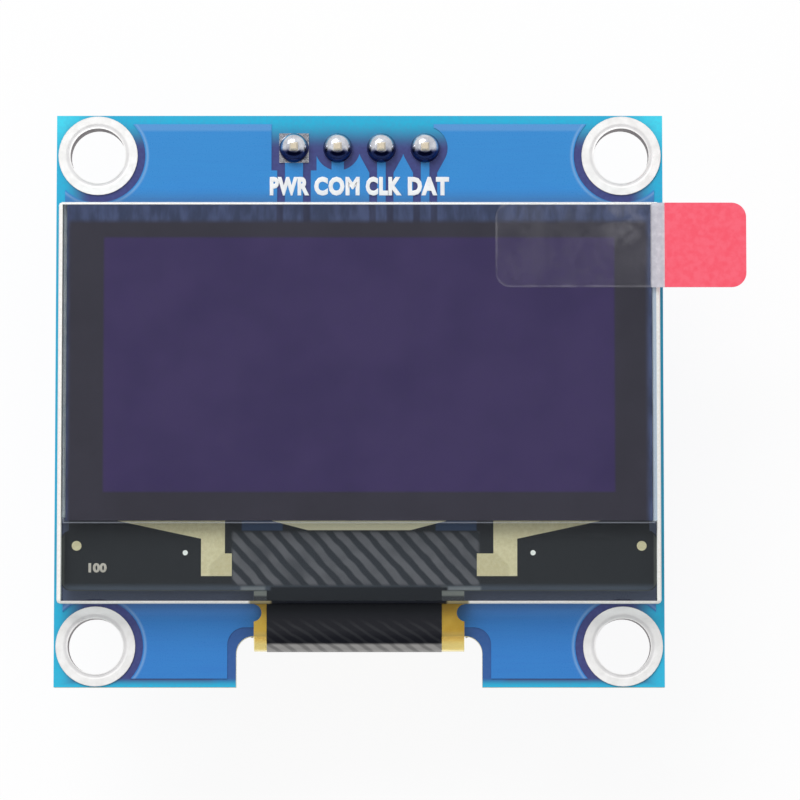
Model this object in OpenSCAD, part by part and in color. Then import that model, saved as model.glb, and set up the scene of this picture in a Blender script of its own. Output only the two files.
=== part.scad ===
// Small OLED display module: a glass display panel taped to a circuit board, joined to it by a
// folded flexible film, with a four-pin header and a row of small parts on the back.
//
// Frame: the module lies flat with its display facing +Z, and the header edge towards +Y.
// The origin is the centre of the four mounting holes, on the board's front face.
// What is on the back is laid out as it is seen from behind, as [across, up] positions.

/* [Board] */
// Board width across the display's long side
board_w = 35.2; // [34.9:0.1:36.4]
// Board height from the flex edge to the header edge
board_h = 33.2; // [33:0.1:34.4]
// Board thickness, with its copper
board_t = 1.2; // [1:0.1:1.6]
// Thickness of the copper layer on each face, with its lacquer
copper_t = 0.05; // [0.03:0.01:0.1]
// How far the copper stops short of the board's edge
copper_inset = 0.5; // [0.3:0.1:0.6]
// Width of the bare gap on each side of a track
track_gap = 0.45; // [0.35:0.05:0.5]
// Width of the notch that the flex folds through
notch_w = 14.2; // [13.6:0.2:15.6]
// Depth of the notch from the board's edge
notch_depth = 2.95; // [2.6:0.05:3]
// Radius of the notch's inner corners
notch_r = 1; // [0.6:0.1:1.4]

/* [Mounting holes] */
// Distance from each hole's centre to the board's side edge
hole_inset_x = 2.4; // [2.3:0.05:2.6]
// Distance from each hole's centre to the board's upper or lower edge
hole_inset_y = 2.35; // [2.3:0.05:2.6]
// Clear diameter of each hole
hole_d = 3.2; // [2.8:0.1:3.4]
// Diameter of the tinned ring around each hole
ring_d = 4.6; // [4.3:0.1:4.6]
// Wall thickness of the plating in each hole
plating_t = 0.06; // [0.04:0.01:0.1]
// Height of the tinned ring above the lacquer
ring_rise = 0.03; // [0.02:0.01:0.06]

/* [Display panel] */
// Bare board beside the glass on each side
panel_side = 0.25; // [0.15:0.05:0.4]
// Bare board above the glass, where the header is
panel_above = 5.25; // [5:0.05:5.3]
// Bare board below the glass
panel_below = 4.75; // [4.6:0.05:4.9]
// Thickness of the front glass
front_glass_t = 0.7; // [0.5:0.1:1.1]
// Thickness of the rear glass
rear_glass_t = 0.7; // [0.5:0.1:1.1]
// Height of the bare glass ledge below the rear glass
ledge_h = 5; // [4.9:0.05:5.2]
// Depth of the cavity in the rear glass
cavity_depth = 0.15; // [0.1:0.05:0.35]
// Thickness of the foam tape between the panel and the board
tape_t = 0.25; // [0.2:0.05:0.4]
// How far the tape stops short of the rear glass's edge
tape_inset = 0.6; // [0.3:0.1:1]
// Dark border on each side of the picture area
picture_side = 2.15; // [1.8:0.05:2.6]
// Distance from the top of the glass to the top of the picture area
picture_top = 2.1; // [1.9:0.1:2.4]
// Distance from the rear glass's lower edge to the bottom of the picture area
picture_below = 1.4; // [1.2:0.05:1.8]
// Thickness of the light-emitting layer
picture_t = 0.04; // [0.03:0.01:0.08]
// How far the polarising film stops short of each side of the glass
polariser_side = 0.5; // [0.4:0.05:0.8]
// How far the polarising film reaches down over the ledge
polariser_over = 0.25; // [0:0.05:0.35]
// Thickness of the polarising film
polariser_t = 0.18; // [0.12:0.02:0.24]
// How far the polarising film stops short of the top of the glass
polariser_top = 0.2; // [0.1:0.05:0.4]
// Thickness of the clear protective film
clear_film_t = 0.05; // [0.03:0.01:0.08]
// How far the protective film stands out beyond the polarising film
clear_film_lip = 0.15; // [0.05:0.05:0.2]

/* [Pull tab] */
// Height of the clear sticker and its red tab
tab_h = 4.9; // [4:0.1:5.2]
// Distance from the top of the glass to the sticker's upper edge
tab_top = 0.1; // [0:0.05:0.5]
// Length of clear sticker that lies on the film
sticker_grip = 9.5; // [7:0.5:12]
// Length of the red tab beyond the glass
tab_reach = 4.7; // [4:0.1:6]
// Gap between the edge of the glass and the red part
tab_gap = 0.25; // [0.1:0.05:0.5]
// Corner radius of the sticker and the tab
tab_r = 0.85; // [0.5:0.05:1.2]
// Thickness of the sticker, and of the red film on it
tab_t = 0.06; // [0.04:0.01:0.1]

/* [Flex film] */
// Thickness of the flexible film
film_t = 0.1; // [0.08:0.01:0.12]
// Thickness of the black coat on the film
coat_t = 0.03; // [0.02:0.01:0.04]
// Width of the film's neck, which folds round the board's edge
neck_w = 12.1; // [11.6:0.1:12.6]
// Bare film on each side of the neck's black coat, on average
neck_bare = 1.02; // [0.95:0.01:1.3]
// How far the neck's coat lies off centre
neck_coat_shift = -0.28; // [-0.4:0.02:0]
// Radius of the relief notches at the top of the neck
relief_r = 0.5; // [0.4:0.05:0.6]
// Distance from the glass's lower edge to the relief notches
relief_drop = 0.5; // [0.4:0.05:0.6]
// Clearance between the fold and the board's notch edge
fold_clearance = 0.02; // [0.01:0.005:0.03]
// How far the film under the ledge stops short of each side of the glass
ledge_film_side = 0.2; // [0.15:0.05:0.4]
// How far that film stops short of the glass's lower edge
ledge_film_below = 0.75; // [0.6:0.05:0.9]
// Gap between the rear glass and the film under the ledge
ledge_film_gap = 0.15; // [0.1:0.05:0.2]
// Radius of the lower corners of the film under the ledge
ledge_film_r = 0.6; // [0.4:0.05:0.8]
// Bare film on each side of the contacts on the back
tail_side = 0.67; // [0.5:0.01:0.8]
// Height of the layout's centre line above the notch's edge
layout_rise = 13.65; // [13.5:0.05:13.8]
// How far the film on the back lies off centre
tail_shift = 0.13; // [0:0.01:0.15]
// Slope of the tail's shoulders, in degrees
tail_slope = 27; // [24:0.5:30]
// Clearance between the film and the board's back face
tail_clearance = 0.05; // [0.04:0.01:0.08]
// Diameter of the two alignment holes in the tail
tail_hole_d = 0.76; // [0.5:0.02:0.9]
// Distance of each alignment hole outside the neck
tail_hole_side = 1.97; // [1.9:0.05:2.4]
// Height of the alignment holes above the neck
tail_hole_rise = 1.67; // [1.6:0.05:2]
// Length of the driver chip under the ledge
driver_w = 11.2; // [10:0.1:12]
// Height of the driver chip
driver_h = 1.1; // [0.9:0.1:1.5]
// Thickness of the driver chip
driver_t = 0.35; // [0.25:0.05:0.4]
// Distance from the film's upper edge to the driver chip
driver_drop = 2; // [1.8:0.05:2.2]

/* [Ledge contacts] */
// Distance from the middle to each contact bar
bar_x = 7.72; // [7.4:0.05:8]
// Width of each contact bar
bar_w = 1.37; // [1.1:0.05:1.5]
// Height of each contact bar
bar_h = 3.2; // [2.8:0.05:3.4]
// Height of the foot at each bar's end
foot_h = 1.3; // [1:0.05:1.5]
// Length of the left bar's foot
left_foot = 0.4; // [0.2:0.05:0.8]
// Length of the right bar's foot
right_foot = 0.95; // [0.5:0.05:1.2]
// Length of the wedge beside each bar
wedge_l = 4.9; // [4:0.1:6]
// Height of the wedge where it meets the bar
wedge_h = 1.05; // [0.8:0.05:1.3]
// Width of the middle contact
middle_w = 10.2; // [9:0.1:11]
// Height of the middle contact
middle_h = 0.56; // [0.4:0.02:0.8]
// How far each end of the middle contact slants in
middle_slant = 2.15; // [1.5:0.05:3]
// Distance from each end of the film to its round mark
mark_inset = 0.9; // [0.7:0.05:1.2]
// Height of the round marks below the film's upper edge
mark_drop = 1.5; // [1.2:0.05:1.8]
// Diameter of the round marks
mark_d = 0.56; // [0.4:0.02:0.8]
// Distance from the middle to each white dot
dot_x = 10; // [9.6:0.1:11]
// Height of the white dots below the film's upper edge
dot_drop = 1.9; // [1.6:0.05:2.2]
// Diameter of the white dots
dot_d = 0.3; // [0.2:0.02:0.4]

/* [Flex joints] */
// Spacing of the contacts
pad_pitch = 0.7; // [0.69:0.005:0.715]
// Width of each contact
pad_w = 0.46; // [0.4:0.02:0.5]
// Height of the contacts' upper ends above the layout's centre line
pad_top_v = -5.35; // [-5.45:0.05:-5.25]
// Length of board contact above the film's edge
pad_bare_h = 1.5; // [1.3:0.05:1.6]
// Length of the solder on the film
pad_film_h = 1.95; // [1.8:0.05:2.1]
// Length of bare gold contact below the solder
pad_gold_h = 1.1; // [1:0.05:1.2]
// Height of the solder on each contact
joint_h = 0.1; // [0.06:0.02:0.16]
// Spacing of the tracks in the film's neck
lane_pitch = 0.336; // [0.32:0.004:0.34]
// Width of the tracks on the film
lane_w = 0.2; // [0.14:0.02:0.22]
// Thickness of the tracks on the film
lane_t = 0.02; // [0.015:0.005:0.03]

/* [Pin header] */
// Spacing of the pins
pin_pitch = 2.54; // [2.5:0.01:2.58]
// Distance from the pin row to the board's edge
pin_inset = 1.9; // [1.8:0.05:2.1]
// Side of each square pin
pin_side = 0.64; // [0.56:0.02:0.66]
// Length of pin beyond the plastic
pin_reach = 6; // [5:0.5:9]
// Length of pin in front of the board
pin_front = 0.95; // [0.6:0.05:1.3]
// Length of the taper at each pin's end
pin_taper = 0.35; // [0.2:0.05:0.5]
// Diameter of the board's hole for each pin
pin_hole_d = 1; // [0.96:0.02:1.1]
// Width of the header's plastic
header_w = 2.5; // [2.3:0.05:2.6]
// Height of the header's plastic
header_h = 2.54; // [2:0.02:3]
// Chamfer on each corner of each pin's block of plastic
header_chamfer = 0.42; // [0.3:0.02:0.5]
// Diameter of the pads that the pins are soldered to
pin_pad_d = 1.72; // [1.5:0.02:1.76]
// Height of the solder cone round each pin
cone_h = 0.75; // [0.5:0.05:0.9]

/* [Chip parts] */
// Spacing of the parts in the row
part_pitch = 1.846; // [1.82:0.002:1.87]
// Height of the row's centre above the layout's centre line
row_v = -1.53; // [-1.6:0.01:-1.45]
// Length of each chip part
chip_l = 1.6; // [1.5:0.05:1.7]
// Width of each chip part
chip_w = 0.8; // [0.7:0.05:0.9]
// Height of the chip capacitors
capacitor_h = 0.75; // [0.5:0.05:0.9]
// Height of the chip resistors
resistor_h = 0.45; // [0.35:0.05:0.55]
// Height of the diode
diode_h = 0.7; // [0.5:0.05:0.9]
// Length of the metal cap on each end of a chip
cap_l = 0.3; // [0.2:0.05:0.4]
// Thickness of the metal caps over the body
cap_t = 0.02; // [0.01:0.01:0.04]
// Length of each chip's solder pad
chip_pad_l = 0.85; // [0.75:0.05:0.9]
// Width of each chip's solder pad
chip_pad_w = 0.95; // [0.85:0.05:1]
// Height of the tinned pads above the lacquer
pad_rise = 0.02; // [0.01:0.01:0.04]

/* [Regulator] */
// Length of the regulator's body
regulator_l = 2.9; // [2.7:0.05:3]
// Width of the regulator's body
regulator_w = 1.3; // [1.2:0.05:1.4]
// Height of the regulator's top above the board
regulator_h = 1.1; // [0.9:0.05:1.2]
// Clearance between the regulator's body and the board
regulator_clearance = 0.1; // [0.05:0.05:0.15]
// Spacing of its two leads on one side
lead_pitch = 1.9; // [1.8:0.05:1.95]
// Width of its leads
lead_w = 0.42; // [0.36:0.02:0.5]
// Thickness of its leads
lead_t = 0.13; // [0.1:0.01:0.15]
// Distance between the tips of its opposite leads
lead_span = 2.5; // [2.4:0.05:2.6]

/* [Printed legend] */
// Width of the printed lines
line_w = 0.22; // [0.16:0.02:0.24]
// Thickness of the print
line_t = 0.02; // [0.015:0.005:0.03]
// Width of the frame printed round each part
frame_w = 1.66; // [1.6:0.02:1.7]
// Height of the frame printed round each part
frame_h = 3.2; // [3.1:0.05:3.3]
// Gap in the side of each capacitor's frame
frame_gap = 0.8; // [0.6:0.05:1]

/* [Hidden] */
$fn = 48;

// A small overlap that makes a cut run clear of the face it leaves
cut = 1;

// Board
notch_edge_y = -board_h / 2 + notch_depth;
layout_y = notch_edge_y + layout_rise;
ring_gap_d = ring_d + 2 * track_gap;
hole_x = board_w / 2 - hole_inset_x;
hole_y = board_h / 2 - hole_inset_y;
hole_spots = [for (sy = [1, -1], sx = [-1, 1]) [sx * hole_x, sy * hole_y]];

// Panel, from the board up
rear_glass_z = tape_t;
front_glass_z = rear_glass_z + rear_glass_t;
panel_top_z = front_glass_z + front_glass_t;
film_top_z = panel_top_z + polariser_t;
sticker_z = film_top_z + clear_film_t;
panel_w = board_w - 2 * panel_side;
panel_top_y = board_h / 2 - panel_above;
panel_bottom_y = panel_below - board_h / 2;
panel_h = panel_top_y - panel_bottom_y;
ledge_top_y = panel_bottom_y + ledge_h;
polariser_w = panel_w - 2 * polariser_side;
polariser_bottom_y = ledge_top_y - polariser_over;
polariser_h = panel_top_y - polariser_top - polariser_bottom_y;
picture_w = polariser_w - 2 * picture_side;
picture_bottom_y = ledge_top_y + picture_below;
picture_h = panel_top_y - picture_top - picture_bottom_y;

// Flex: the fold is half a circle that joins the film's front run to its back run
coat_top_z = front_glass_z;
film_front_z = coat_top_z - coat_t;
film_back_z = -board_t - tail_clearance - film_t;
fold_outer_r = (film_front_z - film_back_z) / 2;
fold_inner_r = fold_outer_r - film_t;
fold_z = (film_front_z + film_back_z) / 2;
fold_edge_drop = fold_z + board_t;
fold_y = notch_edge_y + sqrt(pow(fold_inner_r - fold_clearance, 2) - pow(fold_edge_drop, 2));
ledge_film_w = panel_w - 2 * ledge_film_side;
ledge_film_top_y = ledge_top_y - ledge_film_gap;
ledge_film_bottom_y = panel_bottom_y + ledge_film_below;
ledge_film_h = ledge_film_top_y - ledge_film_bottom_y;
relief_y = panel_bottom_y - relief_drop;
neck_coat_w = neck_w - 2 * neck_bare;
coat_margin = 0.04;

// Flex tail and joints, seen from behind, from the layout's centre line
pad_count = 30;
tail_w = (pad_count - 1) * pad_pitch + pad_w + 2 * tail_side;
film_edge_v = pad_top_v - pad_bare_h;
solder_end_v = film_edge_v - pad_film_h;
gold_end_v = solder_end_v - pad_gold_h;
tail_neck_v = fold_y + 0.1 - layout_y;
tail_left_u = tail_shift - tail_w / 2;
tail_right_u = tail_shift + tail_w / 2;
tail_hole_spots = [for (side = [-1, 1])
    [side * (neck_w / 2 + tail_hole_side), tail_neck_v + tail_hole_rise]];
neck_coat_end_v = tail_neck_v + 0.4;
lane_count = 26;
lane_centre = -0.1;
lane_end_v = neck_coat_end_v + 0.02;
ring_lane = 15;
ring_end_v = lane_end_v + 1.33;
free_pads = [0, 1, 20, 29];
bare_board_pads = [15, 20];

pin_count = 4;
pin_y = board_h / 2 - pin_inset;

// Chip parts, seen from behind: capacitors, resistors and a diode, in the order of the row
row_order = "CCRRRRDCRCCCC";
part_count = len(row_order);
capacitor_slots = slots_of("C");
resistor_slots = slots_of("R");
diode_slots = slots_of("D");
row_top_v = row_v + frame_h / 2;
row_bottom_v = row_v - frame_h / 2;
chip_pad_offset = (chip_l + chip_pad_l) / 2 - cap_l - 0.1;
// The address link lies between the first two of its three pads
link_v = 5.27;
link_pads = [[-10.95, link_v], [-9.3, link_v], [-7.8, link_v]];
link_free_pad = link_pads[2];
link_spot = (link_pads[0] + link_pads[1]) / 2;
link_pad_size = [0.9, 0.9];
// The eighth capacitor lies on its side above the regulator
regulator_spot = [9.3, 4.58];
side_capacitor_spot = regulator_spot + [-0.15, 3.04];
lead_pad_size = [0.95, 0.9];

// ---- Positions that repeat, seen from behind ----

function slots_of(kind) = [for (slot = [0 : len(row_order) - 1]) if (row_order[slot] == kind) slot];
function part_u(slot) = (slot - (part_count - 1) / 2) * part_pitch;
function between_u(slot) = part_u(slot) + part_pitch / 2;
function pad_u(i) = (i - (pad_count - 1) / 2) * pad_pitch;
function lane_u(k) = lane_centre + (k - (lane_count - 1) / 2) * lane_pitch;
function pin_x(n) = (n - (pin_count + 1) / 2) * pin_pitch;

// ---- Outlines ----

function unit(v) = v / norm(v);
function side_of(a, b) = let (d = unit(b - a)) [-d[1], d[0]];
// Half-width vector of a band at point i of its centre line, mitred at the bends
function band_offset(p, i, half) =
    i == 0 ? side_of(p[0], p[1]) * half :
    i == len(p) - 1 ? side_of(p[i - 1], p[i]) * half :
    let (a = side_of(p[i - 1], p[i]), b = side_of(p[i], p[i + 1])) (a + b) * half / (1 + a * b);
// Outline of a band of one width along a centre line
function band(p, width) = concat(
    [for (i = [0 : len(p) - 1]) p[i] + band_offset(p, i, width / 2)],
    [for (i = [len(p) - 1 : -1 : 0]) p[i] - band_offset(p, i, width / 2)]);

// Points of the arc that rounds the corner between two straight edges
function corner_arc(before, corner, after, r, steps = 6) =
    let (
        a = unit(before - corner),
        b = unit(after - corner),
        angle = acos(a * b),
        turn = 180 - angle,
        centre = corner + unit(a + b) * r / sin(angle / 2),
        first = corner + a * r / tan(angle / 2) - centre,
        last = corner + b * r / tan(angle / 2) - centre
    )
    [for (k = [0 : steps]) centre
        + (first * sin(turn * (1 - k / steps)) + last * sin(turn * k / steps)) / sin(turn)];

module track(points, width) {
    polygon(band(points, width));
}

module box_2d(low, high) {
    translate(low)
        square(high - low);
}

module rounded_box(w, h, r) {
    square([w - 2 * r, h], center = true);
    square([w, h - 2 * r], center = true);
    for (sx = [-1, 1], sy = [-1, 1])
        translate([sx * (w / 2 - r), sy * (h / 2 - r)])
            circle(r);
}

// Turns what is drawn as seen from behind, rising away from the board, onto its back face
module on_back(rise = 0) {
    translate([0, 0, -board_t])
        rotate([0, 180, 0])
            translate([0, 0, rise])
                children();
}

// The same, measured up from the layout's centre line
module in_layout(rise = 0) {
    on_back(rise)
        translate([0, layout_y, 0])
            children();
}

// Extrudes a side profile, drawn in [Y, Z], across the module
module across(width, shift = 0) {
    translate([shift - width / 2, 0, 0])
        rotate([90, 0, 90])
            linear_extrude(width)
                children();
}

// ---- Circuit board ----

module notch_shape(grow) {
    w = notch_w + 2 * grow;
    top = notch_edge_y + grow;
    bottom = -board_h / 2 - cut;
    box_2d([-w / 2, bottom], [w / 2, top - notch_r]);
    box_2d([-w / 2 + notch_r, bottom], [w / 2 - notch_r, top]);
    for (side = [-1, 1])
        translate([side * (w / 2 - notch_r), top - notch_r])
            circle(notch_r);
}

module board_outline(inset) {
    difference() {
        square([board_w - 2 * inset, board_h - 2 * inset], center = true);
        notch_shape(inset);
    }
}

module at_holes() {
    for (spot = hole_spots)
        translate(spot)
            children();
}

module at_pins() {
    for (n = [1 : pin_count])
        translate([pin_x(n), pin_y])
            children();
}

module circuit_board() {
    color([0.16, 0.2, 0.42])
        translate([0, 0, copper_t - board_t])
            linear_extrude(board_t - 2 * copper_t)
                difference() {
                    board_outline(0);
                    at_holes()
                        circle(d = hole_d + 2 * plating_t);
                    at_pins()
                        circle(d = pin_hole_d);
                }
}

// A tinned eyelet: a sleeve through the board with a flat ring on each face
module hole_plating(number) {
    r = hole_d / 2;
    color([0.9, 0.9, 0.92])
        translate(hole_spots[number - 1])
            rotate_extrude()
                polygon([
                    [r, ring_rise], [ring_d / 2, ring_rise], [ring_d / 2, -copper_t],
                    [r + plating_t, -copper_t], [r + plating_t, copper_t - board_t],
                    [ring_d / 2, copper_t - board_t], [ring_d / 2, -board_t - ring_rise],
                    [r, -board_t - ring_rise]
                ]);
}

// ---- Front copper: one plane, with tracks from the pin pads to under the panel ----

front_track_end_y = panel_top_y - 1.6;
pin_1_track_w = 1.05;
pin_tie_w = 0.72;
signal_track_w = 0.5;
pin_gap_d = pin_pad_d + 2 * track_gap;

module pin_pad_shape(n) {
    if (n == 1)
        square(pin_pad_d, center = true);
    else
        circle(d = pin_pad_d);
}

// Bare laminate round the pin pads, open to the board's edge
module header_clearance() {
    box_2d([pin_x(1) - pin_gap_d / 2, pin_y - 0.35], [pin_x(pin_count) + 0.5, board_h / 2]);
    translate([pin_x(1), pin_y])
        square(pin_gap_d, center = true);
    for (n = [2 : pin_count])
        translate([pin_x(n), pin_y])
            circle(d = pin_gap_d);
    box_2d([pin_x(1) - pin_1_track_w / 2 - track_gap, front_track_end_y - track_gap],
        [pin_x(1) + pin_1_track_w / 2 + track_gap, pin_y]);
    for (n = [3 : pin_count])
        translate([pin_x(n), 0])
            polygon([
                [-signal_track_w / 2 - track_gap, front_track_end_y - track_gap],
                [signal_track_w / 2 + track_gap, front_track_end_y - track_gap],
                [signal_track_w / 2 + track_gap, pin_y - 1.45], [pin_gap_d / 2 - 0.12, pin_y - 0.55],
                [0.12 - pin_gap_d / 2, pin_y - 0.55], [-signal_track_w / 2 - track_gap, pin_y - 1.45]
            ]);
}

module header_tracks() {
    track([[pin_x(1), front_track_end_y], [pin_x(1), pin_y]], pin_1_track_w);
    track([[pin_x(2), pin_y - 1.5], [pin_x(2), pin_y]], pin_tie_w);
    for (n = [3 : pin_count])
        track([[pin_x(n), front_track_end_y], [pin_x(n), pin_y]], signal_track_w);
}

module front_copper() {
    color([0.26, 0.56, 0.82])
        translate([0, 0, -copper_t])
            linear_extrude(copper_t)
                difference() {
                    union() {
                        difference() {
                            board_outline(copper_inset);
                            header_clearance();
                        }
                        header_tracks();
                    }
                    at_holes()
                        circle(d = ring_gap_d);
                    for (n = [1 : pin_count])
                        translate([pin_x(n), pin_y])
                            pin_pad_shape(n);
                }
}

// ---- Back copper, seen from behind ----

track_w = 0.4;
reg_track_top_v = 0.3;

// Heights that the copper between the row and the flex contacts keeps to
fan_top_v = row_bottom_v - 0.37;
fan_low_v = pad_top_v + 0.6;
via_pair_v = row_bottom_v - 0.59;

// Tracks from the row to the flex contacts: [start across, contact, straight run below the row]
fan_routes = [
    [between_u(0), 2, 0.05], [between_u(1), 3, 0.4], [part_u(2), 4, 0.4], [between_u(6), 16, 0.4],
    [part_u(7), 17, 0.4], [between_u(7), 18, 0.37], [part_u(8), 19, 0.37], [between_u(8), 21, 0.4],
    [part_u(10), 24, 0.22], [between_u(10), 25, 0.37], [part_u(11), 26, 0.27],
    [between_u(11), 27, 0.37], [part_u(part_count - 1), pad_count - 2, 0.47]
];
// The two contacts that share a branch under the tenth part
branch_pads = [22, 23];
// Gaps in the row that a track climbs through, and how high it climbs
climbs = [[6, reg_track_top_v], [7, reg_track_top_v], [8, -0.2], [10, -1.6], [11, -1.6]];

function fan_path(start, pad, run) = [
    [start, row_bottom_v + 0.5], [start, row_bottom_v - run],
    [pad_u(pad), row_bottom_v - run - abs(start - pad_u(pad)) - 0.01], [pad_u(pad), pad_top_v]
];

via_d = 0.3;
edge_via_u = board_w / 2 - 1.4;
link_via = link_pads[1] + [-0.03, -0.87];
regulator_vias = [regulator_spot + [-0.32, 2.02], regulator_spot + [0.38, 2.02]];
// The vias over contacts 10 to 12, and those between the row's tracks
pair_vias = [[part_u(4) + 0.52, via_pair_v], [part_u(5) + 0.05, via_pair_v]];
fan_vias = [[part_u(3) + 0.24, fan_top_v + 0.17], [part_u(7) - 0.02, fan_top_v + 0.17],
    [part_u(9) + 0.26, fan_top_v + 0.17]];
plane_vias = [
    [-edge_via_u - 0.4, 10.9], [-2.46, 10.16], [edge_via_u, 10.5], [-edge_via_u, 0.45],
    [-edge_via_u, -9.95], [edge_via_u, 0.55], [edge_via_u, -9.87], [-2.47, 3.14],
    [part_u(6) - 0.38, fan_top_v + 0.17]
];
via_spots = concat(plane_vias, pair_vias, fan_vias, regulator_vias, [link_via]);

module fan_clearance() {
    // Left group of tracks
    polygon([
        [between_u(0) - 0.9, row_bottom_v + 0.1], [part_u(2) + 0.66, row_bottom_v + 0.1],
        [part_u(2) + 0.66, fan_low_v + 0.35], [pad_u(4) + 0.45, fan_low_v + 0.05],
        [pad_u(4) + 0.45, pad_top_v], [pad_u(2) - 0.42, pad_top_v], [pad_u(2) - 0.42, fan_low_v],
        [pad_u(2) - 0.7, fan_low_v + 0.4], [pad_u(2) - 1.15, fan_low_v + 0.6]
    ]);
    // Middle group, round the two vias
    polygon([
        [between_u(3) - 0.4, row_bottom_v + 0.1], [between_u(5) - 0.2, row_bottom_v + 0.1],
        [pad_u(13) + 0.05, fan_top_v], [pad_u(13) + 0.05, fan_low_v + 0.65],
        [pad_u(13) - 0.2, fan_low_v + 0.35], [pad_u(13) - 0.2, pad_top_v],
        [pad_u(10) - 0.45, pad_top_v], [pad_u(10) - 0.47, fan_low_v - 0.1],
        [between_u(3) - 0.35, fan_top_v]
    ]);
    // Right group of tracks
    last_u = part_u(part_count - 1);
    start_u = part_u(diode_slots[0]);
    polygon([
        [start_u + 0.4, row_bottom_v + 0.1], [last_u + 0.72, row_bottom_v + 0.1],
        [last_u + 0.67, fan_low_v + 0.85], [last_u + 0.12, fan_low_v + 0.33],
        [last_u - 0.18, fan_low_v + 0.33], [pad_u(pad_count - 2) + 0.5, pad_top_v],
        [start_u - 0.07, pad_top_v], [start_u - 0.07, fan_low_v - 0.22],
        [start_u + 0.4, fan_low_v - 0.22]
    ]);
}

module link_clearance() {
    box_2d(link_pads[0] - [0.65, 0.87], link_free_pad + [0.94, 1.01]);
    intersection() {
        translate(link_via)
            circle(r = 0.78);
        box_2d(link_via - [1.2, 1.2], link_via + [1.2, 0.1]);
    }
    track(link_path(), link_track_w + 2 * track_gap);
}

link_track_w = 0.55;

function link_path() =
    let (start = link_free_pad + [0.2, -0.07], to = part_u(3) + 0.06)
    [start, [to, start[1] - (to - start[0])], [to, row_top_v - 0.4]];

function regulator_path() =
    let (start = regulator_spot - [lead_span / 2, 0.78], fall = start[1] - reg_track_top_v)
    [start, [start[0] - fall, reg_track_top_v], [between_u(6), reg_track_top_v]];

module regulator_clearance_shape() {
    translate(regulator_spot) {
        box_2d([-2.03, -1.48], [-0.62, 1.84]);
        box_2d([-1.3, -1.96], [-0.1, -1.38]);
        polygon([
            [2.25, -1.03], [2.25, 3.12], [1.46, 3.92], [1.46, 3.27], [1.78, 2.92], [1.78, -0.56],
            [0.6, -0.56], [0.6, -1.03]
        ]);
    }
    box_2d(side_capacitor_spot - [1.7, 0.9], side_capacitor_spot + [1.61, 0.96]);
    track(regulator_path(), track_w + 2 * track_gap);
}

module back_clearance() {
    box_2d([part_u(0) - 0.93, row_bottom_v], [part_u(part_count - 1) + 0.96, row_top_v + 0.18]);
    box_2d([pad_u(0) - 0.7, film_edge_v - 0.2], [pad_u(pad_count - 1) + 0.7, pad_top_v + 0.38]);
    fan_clearance();
    link_clearance();
    regulator_clearance_shape();
}

module back_tracks() {
    for (route = fan_routes)
        track(fan_path(route[0], route[1], route[2]), track_w);
    for (climb = climbs)
        track([[between_u(climb[0]), row_bottom_v], [between_u(climb[0]), climb[1]]], 0.28);
    // Necks that join the contacts to the plane or to their tracks
    for (i = [0 : pad_count - 1])
        if (len(search(i, bare_board_pads)) == 0)
            box_2d([pad_u(i) - 0.21, pad_top_v - 0.1], [pad_u(i) + 0.21, pad_top_v + 0.45]);
    // Ties from the row's upper pads to the plane
    for (slot = [0, 1, 2, 10])
        box_2d([part_u(slot) - 0.22, row_top_v - 0.6], [part_u(slot) + 0.22, row_top_v + 0.3]);
    // Ties from two upper pads to the regulator's track
    for (slot = [7, 8])
        box_2d([part_u(slot) - 0.3, row_top_v - 0.6], [part_u(slot) + 0.3, reg_track_top_v]);
    track(link_path(), link_track_w);
    track(regulator_path(), track_w);
    // The pair of vias over contacts 10 to 12
    track([
        [between_u(3), row_bottom_v + 0.4], [between_u(3) + 0.1, row_bottom_v],
        pair_vias[0] - [0.65, 0.06], pair_vias[0] - [0, 0.06]
    ], track_w);
    track([
        [between_u(4), row_bottom_v + 0.3], [between_u(4) + 0.1, row_bottom_v - 0.1],
        pair_vias[1] - [0.35, -0.04], pair_vias[1]
    ], track_w);
    box_2d([pad_u(10) - 0.22, fan_low_v + 0.4], [pad_u(11) + 0.22, fan_low_v + 1]);
    for (spot = concat(pair_vias, [fan_vias[1], fan_vias[2]]))
        translate(spot)
            circle(0.33);
    for (i = [10, 11])
        track([[pad_u(i), pad_top_v], [pad_u(i), fan_low_v + 0.75]], track_w);
    track([[pad_u(12), pad_top_v], [pad_u(12), via_pair_v]], track_w);
    // The branch under the tenth part, to two contacts
    branch_u = pad_u(branch_pads[0]);
    track([
        [branch_u, pad_top_v], [branch_u, fan_low_v + 0.7], [part_u(9) + 0.06, fan_top_v]
    ], track_w);
    track([[pad_u(branch_pads[1]), pad_top_v], [pad_u(branch_pads[1]), row_bottom_v]], track_w);
    // Copper round the vias and pads beside the regulator
    translate(regulator_spot) {
        box_2d([-2.1, 0.7], [-1.4, 0.98]);
        box_2d([-0.32, 1.52], [0.4, 2.37]);
    }
    translate(regulator_vias[0])
        circle(0.38);
    translate(link_via)
        circle(0.27);
}

// Places of all the chip pads: [across, up, width, height]
function row_pads() = [for (slot = [0 : part_count - 1], end = [-1, 1])
    [part_u(slot), row_v + end * chip_pad_offset, chip_pad_w, chip_pad_l]];
function side_pads() = [for (end = [-1, 1])
    [side_capacitor_spot[0] + end * chip_pad_offset, side_capacitor_spot[1], chip_pad_l, chip_pad_w]];
function link_pad_list() = [for (spot = link_pads) [spot[0], spot[1], link_pad_size[0], link_pad_size[1]]];
function lead_spots() = [for (side = [[-1, 1], [-1, -1], [1, 0]])
    regulator_spot + [side[0] * lead_span / 2, side[1] * lead_pitch / 2]];
function lead_pads() = [for (spot = lead_spots()) [spot[0], spot[1], lead_pad_size[0], lead_pad_size[1]]];
function contact_pads() = [for (i = [0 : pad_count - 1])
    [pad_u(i), pad_top_v - pad_bare_h / 2, pad_w, pad_bare_h]];

function part_pads() = concat(row_pads(), side_pads(), link_pad_list(), lead_pads());

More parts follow.
